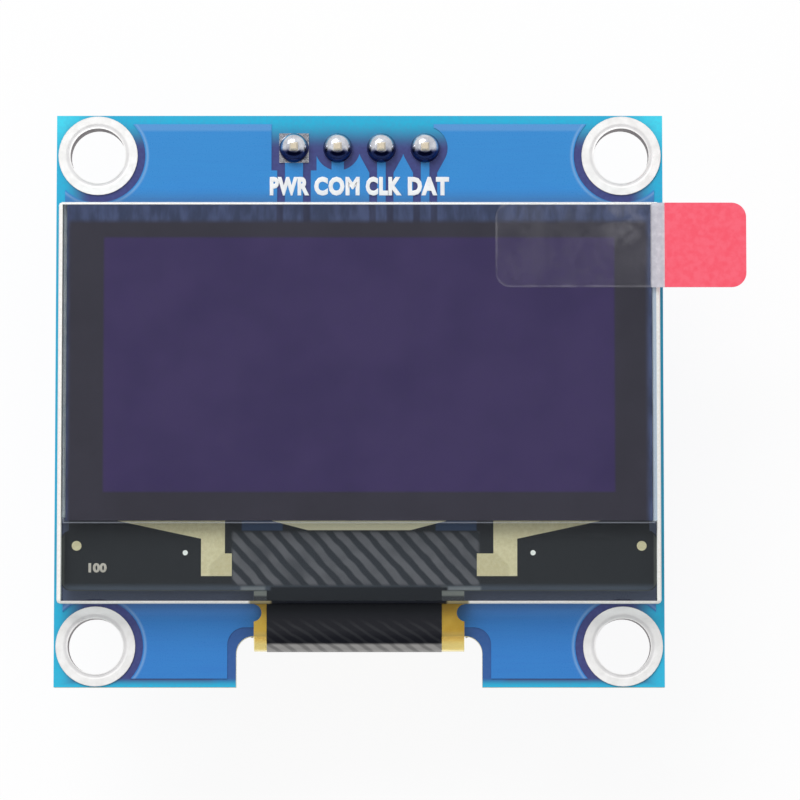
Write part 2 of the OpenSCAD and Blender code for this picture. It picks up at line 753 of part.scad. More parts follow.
module pad_shapes(list) {
    for (p = list)
        translate([p[0], p[1]])
            square([p[2], p[3]], center = true);
}

module back_copper() {
    color([0.19, 0.45, 0.74])
        on_back(-copper_t)
            linear_extrude(copper_t)
                difference() {
                    union() {
                        difference() {
                            board_outline(copper_inset);
                            translate([0, layout_y])
                                back_clearance();
                        }
                        translate([0, layout_y])
                            back_tracks();
                    }
                    at_holes()
                        circle(d = ring_gap_d);
                    at_pins()
                        circle(d = pin_pad_d);
                    translate([0, layout_y]) {
                        pad_shapes(part_pads());
                        pad_shapes(contact_pads());
                        for (spot = via_spots)
                            translate(spot)
                                circle(d = via_d);
                    }
                }
}

module pin_pads() {
    color([0.85, 0.85, 0.88])
        for (n = [1 : pin_count])
            translate([pin_x(n), pin_y, 0]) {
                translate([0, 0, -copper_t])
                    linear_extrude(copper_t + pad_rise)
                        difference() {
                            pin_pad_shape(n);
                            circle(d = pin_hole_d);
                        }
                translate([0, 0, -board_t])
                    linear_extrude(copper_t)
                        difference() {
                            circle(d = pin_pad_d);
                            circle(d = pin_hole_d);
                        }
            }
}

module chip_pads() {
    color([0.85, 0.85, 0.88])
        in_layout(-copper_t) {
            linear_extrude(copper_t + pad_rise)
                pad_shapes(part_pads());
            linear_extrude(copper_t)
                pad_shapes(contact_pads());
        }
}

// ---- Printed legend on the back ----

module frame_shape(w, h) {
    difference() {
        rounded_box(w, h, 0.14);
        square([w - 2 * line_w, h - 2 * line_w], center = true);
    }
}

module capacitor_frame() {
    difference() {
        frame_shape(frame_w, frame_h);
        square([frame_w + cut, frame_gap], center = true);
    }
}

// The line printed round the flexible film's wide part, hooked at its upper ends
module flex_legend() {
    side_u = pad_u(pad_count - 1) + 0.9;
    hook_u = side_u - 0.55;
    top_v = film_edge_v + 0.35;
    foot_v = tail_neck_v - 0.3;
    corner_v = foot_v + (side_u - neck_w / 2) * tan(tail_slope);
    for (side = [-1, 1])
        scale([side, 1])
            polygon(band(concat(
                [[hook_u, top_v], [side_u, top_v]],
                corner_arc([side_u, top_v], [side_u, corner_v], [neck_w / 2 + 0.05, foot_v], 0.7),
                [[neck_w / 2 + 0.05, foot_v]]), line_w + 0.08));
}

module regulator_legend() {
    translate(regulator_spot) {
        translate([-1.15, 1.82])
            circle(0.27);
        track([[0.62, 1.18], [1.2, 1.18], [1.2, 0.72]], line_w);
        track([[0.62, -1.43], [1.2, -1.43], [1.2, -0.96]], line_w);
    }
}

module back_legend() {
    header_frame = [pin_count * pin_pitch + 2 * line_w, header_w + 2 * line_w];
    color("white") {
        on_back()
            translate([0, pin_y, 0])
                linear_extrude(line_t)
                    difference() {
                        square(header_frame, center = true);
                        square([header_frame[0] - 2 * line_w, header_frame[1] - 2 * line_w], center = true);
                    }
        in_layout()
            linear_extrude(line_t) {
                for (slot = capacitor_slots)
                    translate([part_u(slot), row_v])
                        capacitor_frame();
                for (slot = concat(resistor_slots, diode_slots))
                    translate([part_u(slot), row_v])
                        frame_shape(frame_w, frame_h);
                for (slot = diode_slots)
                    translate([part_u(slot), row_top_v + 0.07])
                        square([frame_w, 0.5], center = true);
                translate(side_capacitor_spot)
                    rotate(90)
                        capacitor_frame();
                translate([(link_pads[0][0] + link_free_pad[0]) / 2, link_spot[1]])
                    frame_shape(4.75, 1.7);
                flex_legend();
                regulator_legend();
            }
    }
}

// ---- Display panel ----

module foam_tape() {
    h = panel_h - ledge_h - 2 * tape_inset;
    color([0.93, 0.93, 0.9])
        translate([-panel_w / 2 + tape_inset, panel_top_y - tape_inset - h, 0])
            cube([panel_w - 2 * tape_inset, h, tape_t]);
}

module rear_glass() {
    h = panel_h - ledge_h;
    rim = 1;
    color([0.75, 0.85, 0.85, 0.5])
        difference() {
            translate([-panel_w / 2, ledge_top_y, rear_glass_z])
                cube([panel_w, h, rear_glass_t]);
            translate([-panel_w / 2 + rim, ledge_top_y + rim, front_glass_z - cavity_depth])
                cube([panel_w - 2 * rim, h - 2 * rim, cavity_depth + cut]);
        }
}

module picture_layer() {
    color([0.25, 0.2, 0.4])
        translate([-picture_w / 2, picture_bottom_y, front_glass_z - picture_t])
            cube([picture_w, picture_h, picture_t]);
}

module display_glass() {
    color([0.8, 0.9, 0.9, 0.5])
        translate([-panel_w / 2, panel_bottom_y, front_glass_z])
            cube([panel_w, panel_h, front_glass_t]);
}

module polariser() {
    color([0.22, 0.21, 0.26])
        translate([-polariser_w / 2, polariser_bottom_y, panel_top_z])
            cube([polariser_w, polariser_h, polariser_t]);
}

module protective_film() {
    w = polariser_w + 2 * clear_film_lip;
    h = polariser_h + 2 * clear_film_lip;
    color([0.9, 0.95, 1, 0.3])
        translate([-w / 2, polariser_bottom_y - clear_film_lip, film_top_z])
            cube([w, h, clear_film_t]);
}

module tab_outline(from_x) {
    y = panel_top_y - tab_top - tab_h / 2;
    to_x = panel_w / 2 + tab_gap + tab_reach;
    start_x = panel_w / 2 - sticker_grip;
    intersection() {
        translate([(start_x + to_x) / 2, y])
            rounded_box(to_x - start_x, tab_h, tab_r);
        box_2d([from_x, y - tab_h], [to_x + cut, y + tab_h]);
    }
}

module pull_sticker() {
    color([0.95, 0.97, 1, 0.3])
        translate([0, 0, sticker_z])
            linear_extrude(tab_t)
                tab_outline(0);
}

module pull_tab() {
    color([1, 0.36, 0.44])
        translate([0, 0, sticker_z + tab_t])
            linear_extrude(tab_t)
                tab_outline(panel_w / 2 + tab_gap);
}

// ---- Flex film ----

// Side profile of a layer that follows the fold: from its front end, round, to its back end
module fold_profile(inner_r, outer_r, front_end_y, back_end_y) {
    translate([fold_y, fold_z])
        intersection() {
            difference() {
                circle(outer_r, $fn = 96);
                circle(inner_r, $fn = 96);
            }
            translate([-2 * outer_r, -outer_r - cut])
                square([2 * outer_r, 2 * (outer_r + cut)]);
        }
    box_2d([fold_y, fold_z + inner_r], [front_end_y, fold_z + outer_r]);
    box_2d([fold_y, fold_z - outer_r], [back_end_y, fold_z - inner_r]);
}

module ledge_film_shape(margin) {
    r = ledge_film_r;
    w = ledge_film_w - 2 * margin;
    // The upper corners are stepped in
    step = 0.75 * r;
    shoulder_h = ledge_film_h - r;
    translate([0, ledge_film_bottom_y + shoulder_h / 2])
        rounded_box(w, shoulder_h - 2 * margin, r);
    box_2d([step - w / 2, ledge_film_bottom_y + r + cut / 2], [w / 2 - step, ledge_film_top_y - margin]);
}

module tail_shape() {
    neck_half = neck_w / 2;
    left_corner_v = tail_neck_v + (-neck_half - tail_left_u) * tan(tail_slope);
    right_corner_v = tail_neck_v + (tail_right_u - neck_half) * tan(tail_slope);
    top_left = [tail_left_u, film_edge_v];
    top_right = [tail_right_u, film_edge_v];
    difference() {
        polygon(concat(
            [top_left, top_right],
            corner_arc(top_right, [tail_right_u, right_corner_v], [neck_half, tail_neck_v], 0.7),
            [[neck_half, tail_neck_v], [neck_half, tail_neck_v - 0.1]],
            [[-neck_half, tail_neck_v - 0.1], [-neck_half, tail_neck_v]],
            corner_arc([-neck_half, tail_neck_v], [tail_left_u, left_corner_v], top_left, 0.7)));
        for (spot = tail_hole_spots)
            translate(spot)
                circle(d = tail_hole_d);
    }
}

module flex_film() {
    color([0.72, 0.55, 0.18])
        difference() {
            union() {
                translate([0, 0, film_front_z - film_t])
                    linear_extrude(film_t)
                        ledge_film_shape(0);
                across(neck_w)
                    fold_profile(fold_inner_r, fold_outer_r, ledge_film_bottom_y + 0.5, fold_y + 0.1);
                in_layout(tail_clearance)
                    linear_extrude(film_t)
                        tail_shape();
            }
            for (side = [-1, 1])
                translate([side * (neck_w / 2 + 0.06), relief_y, film_front_z - film_t - cut])
                    cylinder(r = relief_r, h = film_t + 2 * cut);
        }
}

// Right contact: a bar with a foot at its end and a wedge along the panel
module wedge_contact(foot) {
    top = ledge_film_top_y - coat_margin;
    out = bar_x + bar_w;
    polygon([
        [bar_x, top], [out + wedge_l, top], [out, top - wedge_h], [out, top - bar_h],
        [bar_x - foot, top - bar_h], [bar_x - foot, top - bar_h + foot_h],
        [bar_x, top - bar_h + foot_h]
    ]);
}

module contact_shapes() {
    top = ledge_film_top_y - coat_margin;
    scale([-1, 1])
        wedge_contact(left_foot);
    wedge_contact(right_foot);
    polygon([
        [-middle_w / 2, top], [middle_w / 2, top],
        [middle_w / 2 - middle_slant, top - middle_h], [middle_slant - middle_w / 2, top - middle_h]
    ]);
    for (side = [-1, 1]) {
        translate([side * (ledge_film_w / 2 - mark_inset), ledge_film_top_y - mark_drop])
            circle(d = mark_d);
        translate([side * dot_x, ledge_film_top_y - dot_drop])
            circle(d = dot_d);
    }
}

module flex_coat() {
    color([0.13, 0.13, 0.15])
        union() {
            translate([0, 0, film_front_z])
                linear_extrude(coat_t)
                    difference() {
                        ledge_film_shape(coat_margin);
                        contact_shapes();
                    }
            across(neck_coat_w, neck_coat_shift)
                fold_profile(fold_outer_r, fold_outer_r + coat_t,
                    ledge_film_bottom_y + 0.2, layout_y + neck_coat_end_v);
        }
}

module ledge_contacts() {
    color([0.8, 0.75, 0.58])
        translate([0, 0, film_front_z])
            linear_extrude(coat_t)
                contact_shapes();
}

module driver_chip() {
    color([0.3, 0.3, 0.34])
        translate([-driver_w / 2, ledge_film_top_y - driver_drop - driver_h, film_front_z - film_t - driver_t])
            cube([driver_w, driver_h, driver_t]);
}

// Lane that each contact's track runs to: the ring's lane is passed over, one contact has no
// track, and two contacts share a lane
function lane_of(pad) = pad < 17 ? pad - 2 : pad < 20 ? pad - 1 : pad < 23 ? pad - 2 : pad - 3;
// Fall of the slanted tracks for each millimetre across: the outermost one ends at the coat
function fan_fall(pad) =
    (gold_end_v - lane_end_v - 0.15) / abs(pad_u(pad) - lane_u(lane_of(pad)));

function lane_path(pad) =
    let (
        u = pad_u(pad),
        to = lane_u(lane_of(pad)),
        fall = abs(to - u) * fan_fall(to > u ? 2 : pad_count - 2)
    )
    [[u, gold_end_v + 0.1], [u, gold_end_v - 0.01], [to, gold_end_v - 0.02 - fall], [to, lane_end_v]];

module flex_tracks() {
    color([0.95, 0.8, 0.3])
        in_layout(tail_clearance + film_t)
            linear_extrude(lane_t) {
                for (i = [0 : pad_count - 1])
                    box_2d([pad_u(i) - pad_w / 2, gold_end_v], [pad_u(i) + pad_w / 2, film_edge_v]);
                for (i = [2 : pad_count - 2])
                    if (len(search(i, free_pads)) == 0)
                        track(lane_path(i), lane_w);
                // The short track with a ring at its end
                translate([lane_u(ring_lane), ring_end_v])
                    circle(lane_w);
                track([[lane_u(ring_lane), ring_end_v], [lane_u(ring_lane), lane_end_v]], lane_w);
            }
}

// Solder from each board contact up and over the end of the film
module flex_joints() {
    on_film = tail_clearance + film_t + lane_t;
    color([0.92, 0.92, 0.93])
        for (i = [0 : pad_count - 1])
            in_layout()
                translate([pad_u(i) - pad_w / 2, 0, 0])
                    rotate([90, 0, 90])
                        linear_extrude(pad_w)
                            polygon([
                                [pad_top_v, 0], [pad_top_v - 0.08, joint_h * 0.8],
                                [film_edge_v + 0.3, joint_h], [film_edge_v - 0.05, on_film + joint_h],
                                [solder_end_v + 0.2, on_film + joint_h * 0.9], [solder_end_v, on_film],
                                [film_edge_v, on_film], [film_edge_v, 0]
                            ]);
}

// ---- Pin header ----

module header_body() {
    color([0.95, 0.9, 0.4])
        on_back()
            linear_extrude(header_h)
                difference() {
                    for (n = [1 : pin_count])
                        translate([pin_x(n), pin_y])
                            header_block();
                    at_pins()
                        square(pin_side, center = true);
                }
}

module header_block() {
    a = pin_pitch / 2;
    b = header_w / 2;
    c = header_chamfer;
    polygon([
        [-a, c - b], [c - a, -b], [a - c, -b], [a, c - b],
        [a, b - c], [a - c, b], [c - a, b], [-a, b - c]
    ]);
}

module pin_side_outline() {
    low = -board_t - header_h - pin_reach;
    a = pin_side / 2;
    b = a / 2;
    polygon([
        [-b, low], [b, low], [a, low + pin_taper], [a, pin_front - pin_taper], [b, pin_front],
        [-b, pin_front], [-a, pin_front - pin_taper], [-a, low + pin_taper]
    ]);
}

module header_pin(n) {
    color([0.8, 0.78, 0.7])
        translate([pin_x(n), pin_y, 0])
            intersection() {
                rotate([90, 0, 0])
                    linear_extrude(pin_side, center = true)
                        pin_side_outline();
                across(pin_side)
                    pin_side_outline();
            }
}

module solder_cone(n) {
    r = pin_pad_d / 2;
    top_r = pin_side * 0.72;
    steps = 6;
    color([0.86, 0.87, 0.9])
        difference() {
            translate([pin_x(n), pin_y, pad_rise])
                rotate_extrude()
                    polygon(concat(
                        [[0, 0]],
                        [for (k = [0 : steps]) let (s = k / steps)
                            [top_r + (r - top_r) * pow(1 - s, 1.5), cone_h * s]],
                        [[0, cone_h]]));
            translate([pin_x(n) - pin_side / 2, pin_y - pin_side / 2, -cut])
                cube([pin_side, pin_side, cone_h + 2 * cut]);
        }
}

// ---- Chip parts, seen from behind; each lies along its own Y ----

module chip_body(h) {
    translate([cap_t - chip_w / 2, cap_t - chip_l / 2, pad_rise + cap_t])
        cube([chip_w - 2 * cap_t, chip_l - 2 * cap_t, h - 2 * cap_t]);
}

module chip_cap_pair(h) {
    difference() {
        for (end = [0, 1])
            translate([-chip_w / 2, end * (chip_l - cap_l) - chip_l / 2, pad_rise])
                cube([chip_w, cap_l, h]);
        chip_body(h);
    }
}

module solder_fillets(h) {
    rise = h * 0.6;
    reach = 0.32;
    for (end = [0, 1])
        rotate([0, 0, 180 * end])
            translate([-chip_w / 2, chip_l / 2, pad_rise])
                rotate([90, 0, 90])
                    linear_extrude(chip_w)
                        polygon([[0, 0], [reach, 0], [reach * 0.35, rise * 0.35], [0, rise]]);
}

module in_slot(slot) {
    in_layout()
        translate([part_u(slot), row_v, 0])
            children();
}

module on_side() {
    in_layout()
        translate([side_capacitor_spot[0], side_capacitor_spot[1], 0])
            rotate([0, 0, 90])
                children();
}

module in_link() {
    in_layout()
        translate([link_spot[0], link_spot[1], 0])
            rotate([0, 0, 90])
                children();
}

module capacitor(number) {
    color([0.78, 0.66, 0.5])
        if (number == 8)
            on_side()
                chip_body(capacitor_h);
        else
            in_slot(capacitor_slots[number - 1])
                chip_body(capacitor_h);
}

module resistor(number) {
    color([0.12, 0.12, 0.13])
        in_slot(resistor_slots[number - 1])
            chip_body(resistor_h);
}

module address_link() {
    color([0.12, 0.12, 0.13])
        in_link()
            chip_body(resistor_h);
}

module diode() {
    color([0.2, 0.2, 0.2])
        in_slot(diode_slots[0])
            chip_body(diode_h);
}

module chip_caps() {
    color([0.88, 0.88, 0.88]) {
        for (slot = capacitor_slots)
            in_slot(slot)
                chip_cap_pair(capacitor_h);
        for (slot = resistor_slots)
            in_slot(slot)
                chip_cap_pair(resistor_h);
        in_slot(diode_slots[0])
            chip_cap_pair(diode_h);
        on_side()
            chip_cap_pair(capacitor_h);
        in_link()
            chip_cap_pair(resistor_h);
    }
}

module chip_solder() {
    color([0.8, 0.8, 0.83]) {
        for (slot = capacitor_slots)
            in_slot(slot)
                solder_fillets(capacitor_h);
        for (slot = resistor_slots)
            in_slot(slot)
                solder_fillets(resistor_h);
        in_slot(diode_slots[0])
            solder_fillets(diode_h);
        on_side()
            solder_fillets(capacitor_h);
        in_link()
            solder_fillets(resistor_h);
        // The open pad of the address link, tinned by itself
        in_layout(pad_rise)
            translate(link_free_pad)
                cylinder(d1 = link_pad_size[0] - 0.1, d2 = 0.4, h = 0.18);
    }
}

// ---- Regulator, seen from behind ----

module regulator() {
    half = regulator_w / 2;
    draft = 0.08;
    middle = regulator_h * 0.55;
    color([0.27, 0.27, 0.28])
        in_layout()
            translate([regulator_spot[0], regulator_spot[1] + regulator_l / 2, 0])
                rotate([90, 0, 0])
                    linear_extrude(regulator_l)
                        polygon([
                            [draft - half, regulator_clearance], [half - draft, regulator_clearance],
                            [half, middle], [half - draft, regulator_h],
                            [draft - half, regulator_h], [-half, middle]
                        ]);
}

module regulator_leads() {
    middle = regulator_h * 0.55;
    foot = pad_rise + lead_t / 2;
    half = regulator_w / 2;
    color([0.85, 0.85, 0.87])
        for (side = [[-1, 1], [-1, -1], [1, 0]])
            in_layout()
                translate([regulator_spot[0], regulator_spot[1] + side[1] * lead_pitch / 2 + lead_w / 2, 0])
                    scale([side[0], 1, 1])
                        rotate([90, 0, 0])
                            linear_extrude(lead_w)
                                track([
                                    [half, middle], [half + 0.22, middle], [half + 0.34, foot],
                                    [lead_span / 2 + 0.1, foot]
                                ], lead_t);
}

// ---- Nodes ----

circuit_board();
front_copper();
back_copper();
hole_plating(1);  // hole_plating_1
hole_plating(2);  // hole_plating_2
hole_plating(3);  // hole_plating_3
hole_plating(4);  // hole_plating_4
back_legend();
pin_pads();
chip_pads();
foam_tape();
rear_glass();
picture_layer();
display_glass();
polariser();
protective_film();
pull_sticker();
pull_tab();
driver_chip();
flex_film();
flex_coat();
ledge_contacts();
flex_tracks();
flex_joints();
header_body();
header_pin(1);  // header_pin_1
header_pin(2);  // header_pin_2
header_pin(3);  // header_pin_3
header_pin(4);  // header_pin_4
solder_cone(1);  // solder_cone_1
solder_cone(2);  // solder_cone_2
solder_cone(3);  // solder_cone_3
solder_cone(4);  // solder_cone_4
capacitor(1);  // capacitor_1
capacitor(2);  // capacitor_2
capacitor(3);  // capacitor_3
capacitor(4);  // capacitor_4
capacitor(5);  // capacitor_5
capacitor(6);  // capacitor_6
capacitor(7);  // capacitor_7
capacitor(8);  // capacitor_8
resistor(1);  // resistor_1
resistor(2);  // resistor_2
resistor(3);  // resistor_3
resistor(4);  // resistor_4
resistor(5);  // resistor_5
address_link();
diode();
regulator();
regulator_leads();
chip_caps();
chip_solder();
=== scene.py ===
"""The looks of the small OLED display module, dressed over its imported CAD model."""

import math

import bmesh
import bpy
from mathutils import Matrix, Vector


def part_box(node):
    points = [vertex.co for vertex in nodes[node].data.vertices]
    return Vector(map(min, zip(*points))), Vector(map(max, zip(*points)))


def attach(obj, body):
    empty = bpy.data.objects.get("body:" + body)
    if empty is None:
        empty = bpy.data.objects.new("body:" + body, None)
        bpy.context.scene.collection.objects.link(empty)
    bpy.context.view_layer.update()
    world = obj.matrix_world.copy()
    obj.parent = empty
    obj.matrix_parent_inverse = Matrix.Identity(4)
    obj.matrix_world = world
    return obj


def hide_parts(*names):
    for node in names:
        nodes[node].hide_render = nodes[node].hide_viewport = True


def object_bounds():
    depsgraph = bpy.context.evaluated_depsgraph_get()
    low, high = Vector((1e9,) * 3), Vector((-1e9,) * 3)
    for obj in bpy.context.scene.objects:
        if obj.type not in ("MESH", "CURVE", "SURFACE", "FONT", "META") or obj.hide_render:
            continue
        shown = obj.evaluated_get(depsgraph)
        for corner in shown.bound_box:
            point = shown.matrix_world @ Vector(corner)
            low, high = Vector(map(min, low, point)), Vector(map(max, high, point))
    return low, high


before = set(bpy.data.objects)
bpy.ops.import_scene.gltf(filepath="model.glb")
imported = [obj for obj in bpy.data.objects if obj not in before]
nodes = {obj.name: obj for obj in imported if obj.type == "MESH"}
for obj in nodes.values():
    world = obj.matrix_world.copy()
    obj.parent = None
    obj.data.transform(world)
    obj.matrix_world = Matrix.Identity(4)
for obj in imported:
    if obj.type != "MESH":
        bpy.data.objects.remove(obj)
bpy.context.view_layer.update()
MM = 0.001


def box_mm(name):
    """Lowest and highest corner of a CAD node, in millimetres."""
    low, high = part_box(name)
    return low / MM, high / MM


# ---- Sizes read from the frame, in millimetres ----

BOARD_LOW, BOARD_HIGH = box_mm("circuit_board")
BACK_Z = box_mm("back_copper")[0].z
GLASS_LOW, GLASS_HIGH = box_mm("display_glass")
POL_LOW, POL_HIGH = box_mm("polariser")
COAT_TOP = box_mm("ledge_contacts")[1].z
BACK_FILM = box_mm("flex_film")[0].z
RING_LOW, RING_HIGH = box_mm("hole_plating_1")
HOLE_X = abs(RING_LOW.x + RING_HIGH.x) / 2
HOLE_Y = abs(RING_LOW.y + RING_HIGH.y) / 2

# ---- Places that only the materials draw, in millimetres: lowest and highest corner ----

# Where painted light makes the laminate bluer by the notch
NOTCH_PAINTED_LIGHT = ((-8.4, -18), (8.4, -12.1))
BLACK_BORDER = ((-16.75, -12), (16.6, 10.2))
HATCH = ((-7.3, -10.75), (6.9, -7.7))
SLIVERS = (((-6.75, -7.62), (-4.4, -7.0)), ((4.4, -7.62), (6.75, -7.0)))
# Glue spots, lightened by a painted highlight on the glue
GLUE_HIGHLIGHT_SPOTS = (((-6.8, -11.2), (-5.4, -10.85)), ((4.7, -11.2), (7.0, -10.85)))
NECK_TOP = ((-5.1, -12), (5.1, -10.85))
MIDDLE_CONTACT = ((-5, -7.8), (5, -6.9))
WHITE_DOTS = (((-10.5, -9.2), (-9.5, -8.6)), ((9.5, -9.2), (10.5, -8.6)))

PAD_PITCH = 0.7
PAD_HOLE_ROW = -9.1
PAD_HOLE_STAGGER = -0.34


# ---- Materials ----

def rgb(r, g, b, gloss=0.0):
    """An sRGB colour from 0 to 255 as the linear colour of a shader, less what its gloss adds."""
    def one(c):
        c /= 255
        c = c / 12.92 if c <= 0.04045 else ((c + 0.055) / 1.055) ** 2.4
        return max(c - gloss, 0.002)
    return (one(r), one(g), one(b), 1.0)


SOCKETS = {
    "color": "Base Color", "rough": "Roughness", "metal": "Metallic", "coat": "Coat Weight",
    "coat_rough": "Coat Roughness", "specular": "Specular IOR Level", "alpha": "Alpha",
    "glow": "Subsurface Weight", "glow_depth": "Subsurface Scale",
}


class Look:
    """A procedural material. Its coordinates are the row frame's, in millimetres."""

    def __init__(self, name):
        self.data = bpy.data.materials.new(name)
        self.data.use_nodes = True
        self.tree = self.data.node_tree
        self.shader = self.tree.nodes["Principled BSDF"]
        place = self.node("ShaderNodeTexCoord")
        scale = self.node("ShaderNodeVectorMath", operation="SCALE")
        scale.inputs["Scale"].default_value = 1 / MM
        self.tree.links.new(place.outputs["Object"], scale.inputs[0])
        self.mm = scale.outputs[0]
        self.x, self.y, self.z = self.split(self.mm)

    def node(self, kind, **settings):
        made = self.tree.nodes.new(kind)
        for key, value in settings.items():
            setattr(made, key, value)
        return made

    def split(self, vector):
        """The three numbers of a vector."""
        made = self.node("ShaderNodeSeparateXYZ")
        self.tree.links.new(vector, made.inputs[0])
        return made.outputs

    def put(self, socket, value):
        """Links a socket to another one, or sets it to a plain value."""
        if isinstance(value, bpy.types.NodeSocket):
            self.tree.links.new(value, socket)
        else:
            socket.default_value = value

    def set(self, **values):
        """Sets the main shader's sockets, by their short names."""
        for key, value in values.items():
            self.put(self.shader.inputs[SOCKETS[key]], value)

    # Arithmetic on values that change over the surface

    def math(self, operation, a, b=0.0):
        made = self.node("ShaderNodeMath", operation=operation)
        self.put(made.inputs[0], a)
        self.put(made.inputs[1], b)
        return made.outputs[0]

    def add(self, a, b):
        return self.math("ADD", a, b)

    def less(self, a, b):
        return self.math("SUBTRACT", a, b)

    def size(self, value):
        return self.math("ABSOLUTE", value)

    def least(self, a, b):
        return self.math("MINIMUM", a, b)

    def most(self, *values):
        result = values[0]
        for value in values[1:]:
            result = self.math("MAXIMUM", result, value)
        return result

    def times(self, *values):
        result = values[0]
        for value in values[1:]:
            result = self.math("MULTIPLY", result, value)
        return result

    def length(self, a, b):
        """Length of the vector (a, b)."""
        return self.math("SQRT", self.add(self.times(a, a), self.times(b, b)))

    def rise(self, value, start, end, low=0.0, high=1.0):
        """A smooth step from low at start to high at end."""
        made = self.node("ShaderNodeMapRange", interpolation_type="SMOOTHSTEP")
        self.put(made.inputs["Value"], value)
        made.inputs["From Min"].default_value = start
        made.inputs["From Max"].default_value = end
        made.inputs["To Min"].default_value = low
        made.inputs["To Max"].default_value = high
        return made.outputs["Result"]

    def vary(self, noise, low=0.0, high=1.0):
        """A noise spread over low to high. Most of its own values lie between 0.3 and 0.7."""
        return self.rise(noise, 0.3, 0.7, low, high)

    def mix(self, share, a, b):
        """Colour a, or b where share is 1."""
        made = self.node("ShaderNodeMix", data_type="RGBA")
        self.put(made.inputs[0], share)
        self.put(made.inputs[6], a)
        self.put(made.inputs[7], b)
        return made.outputs[2]

    def tone(self, noise, a, b):
        """A colour that wanders between a and b with a noise."""
        return self.mix(self.vary(noise), a, b)

    # Places

    def inside(self, box, soft=0.05):
        """1 inside a rectangle of the XY plane, 0 outside it."""
        low, high = box
        return self.times(
            self.rise(self.x, low[0] - soft, low[0] + soft),
            self.rise(self.x, high[0] + soft, high[0] - soft),
            self.rise(self.y, low[1] - soft, low[1] + soft),
            self.rise(self.y, high[1] + soft, high[1] - soft))

    def inside_any(self, boxes, soft):
        return self.most(*(self.inside(box, soft) for box in boxes))

    def near(self, u, v, radius, soft):
        """1 within a radius of a place of the XY plane, 0 outside it."""
        away = self.length(self.less(self.x, u), self.less(self.y, v))
        return self.rise(away, radius + soft, radius - soft)

    def from_holes(self):
        """Distance from the axis of the nearest mounting hole."""
        return self.length(self.less(self.size(self.x), HOLE_X), self.less(self.size(self.y), HOLE_Y))

    def from_box(self, low, high, radius):
        """Distance outside (or, below 0, inside) a rounded rectangle of the XY plane."""
        out = []
        for axis, a, b in ((self.x, low[0], high[0]), (self.y, low[1], high[1])):
            reach = self.size(self.less(axis, (a + b) / 2))
            out.append(self.less(reach, (b - a) / 2 - radius))
        corner = self.length(self.most(out[0], 0.0), self.most(out[1], 0.0))
        flat = self.least(self.most(out[0], out[1]), 0.0)
        return self.less(self.add(corner, flat), radius)

    def facing(self):
        """The surface's own Z direction: 1 on a face that looks up, 0 on a side."""
        return self.split(self.node("ShaderNodeNewGeometry").outputs["True Normal"])[2]

    # Surface

    def noise(self, scale, detail, rough, stretch=None):
        """Noise with about scale lumps to the millimetre."""
        made = self.node("ShaderNodeTexNoise")
        made.inputs["Scale"].default_value = scale
        made.inputs["Detail"].default_value = detail
        made.inputs["Roughness"].default_value = rough
        source = self.mm
        if stretch:
            spread = self.node("ShaderNodeVectorMath", operation="MULTIPLY")
            self.put(spread.inputs[0], self.mm)
            spread.inputs[1].default_value = stretch
            source = spread.outputs[0]
        self.put(made.inputs["Vector"], source)
        return made.outputs["Fac"]

    def bump(self, height, depth_mm):
        made = self.node("ShaderNodeBump")
        made.inputs["Strength"].default_value = 1.0
        made.inputs["Distance"].default_value = depth_mm * MM
        self.put(made.inputs["Height"], height)
        self.tree.links.new(made.outputs["Normal"], self.shader.inputs["Normal"])

    def blend(self, share, second):
        """Shows the second shader instead of the main one, by its share."""
        both = self.node("ShaderNodeMixShader")
        self.put(both.inputs[0], share)
        self.tree.links.new(self.shader.outputs[0], both.inputs[1])
        self.tree.links.new(second, both.inputs[2])
        self.tree.links.new(both.outputs[0], self.tree.nodes["Material Output"].inputs["Surface"])

    def sheet(self, color, gloss=0.05, rough=0.0):
        """A clear sheet: lets light straight through, tinted, and reflects a little."""
        through = self.node("ShaderNodeBsdfTransparent")
        self.put(through.inputs["Color"], color)
        shine = self.node("ShaderNodeBsdfAnisotropic")
        shine.inputs["Roughness"].default_value = rough
        both = self.node("ShaderNodeMixShader")
        both.inputs[0].default_value = gloss
        self.tree.links.new(through.outputs[0], both.inputs[1])
        self.tree.links.new(shine.outputs[0], both.inputs[2])
        return both.outputs[0]


def plastic(name, main, light, rough=0.35, grain=6, depth=0.004, **more):
    """Plastic, ink, foam or ceramic: a fine grain over broad, faint clouds."""
    look = Look(name)
    fine = look.noise(grain, 3, 0.6)
    broad = look.noise(grain / 8, 2, 0.5)
    look.set(color=look.tone(broad, main, light),
             rough=look.rise(fine, 0.25, 0.75, rough * 0.8, rough * 1.25), **more)
    look.bump(fine, depth)
    return look


def metal(name, main, light, rough, depth, scale=6):
    """Lumpy bare metal."""
    look = Look(name)
    lumps = look.noise(scale, 3, 0.6)
    fine = look.noise(scale * 8, 2, 0.5)
    look.set(color=look.tone(lumps, main, light), metal=1.0,
             rough=look.rise(fine, 0.2, 0.8, rough * 0.7, rough * 1.3))
    look.bump(look.add(lumps, look.times(fine, 0.3)), depth)
    return look


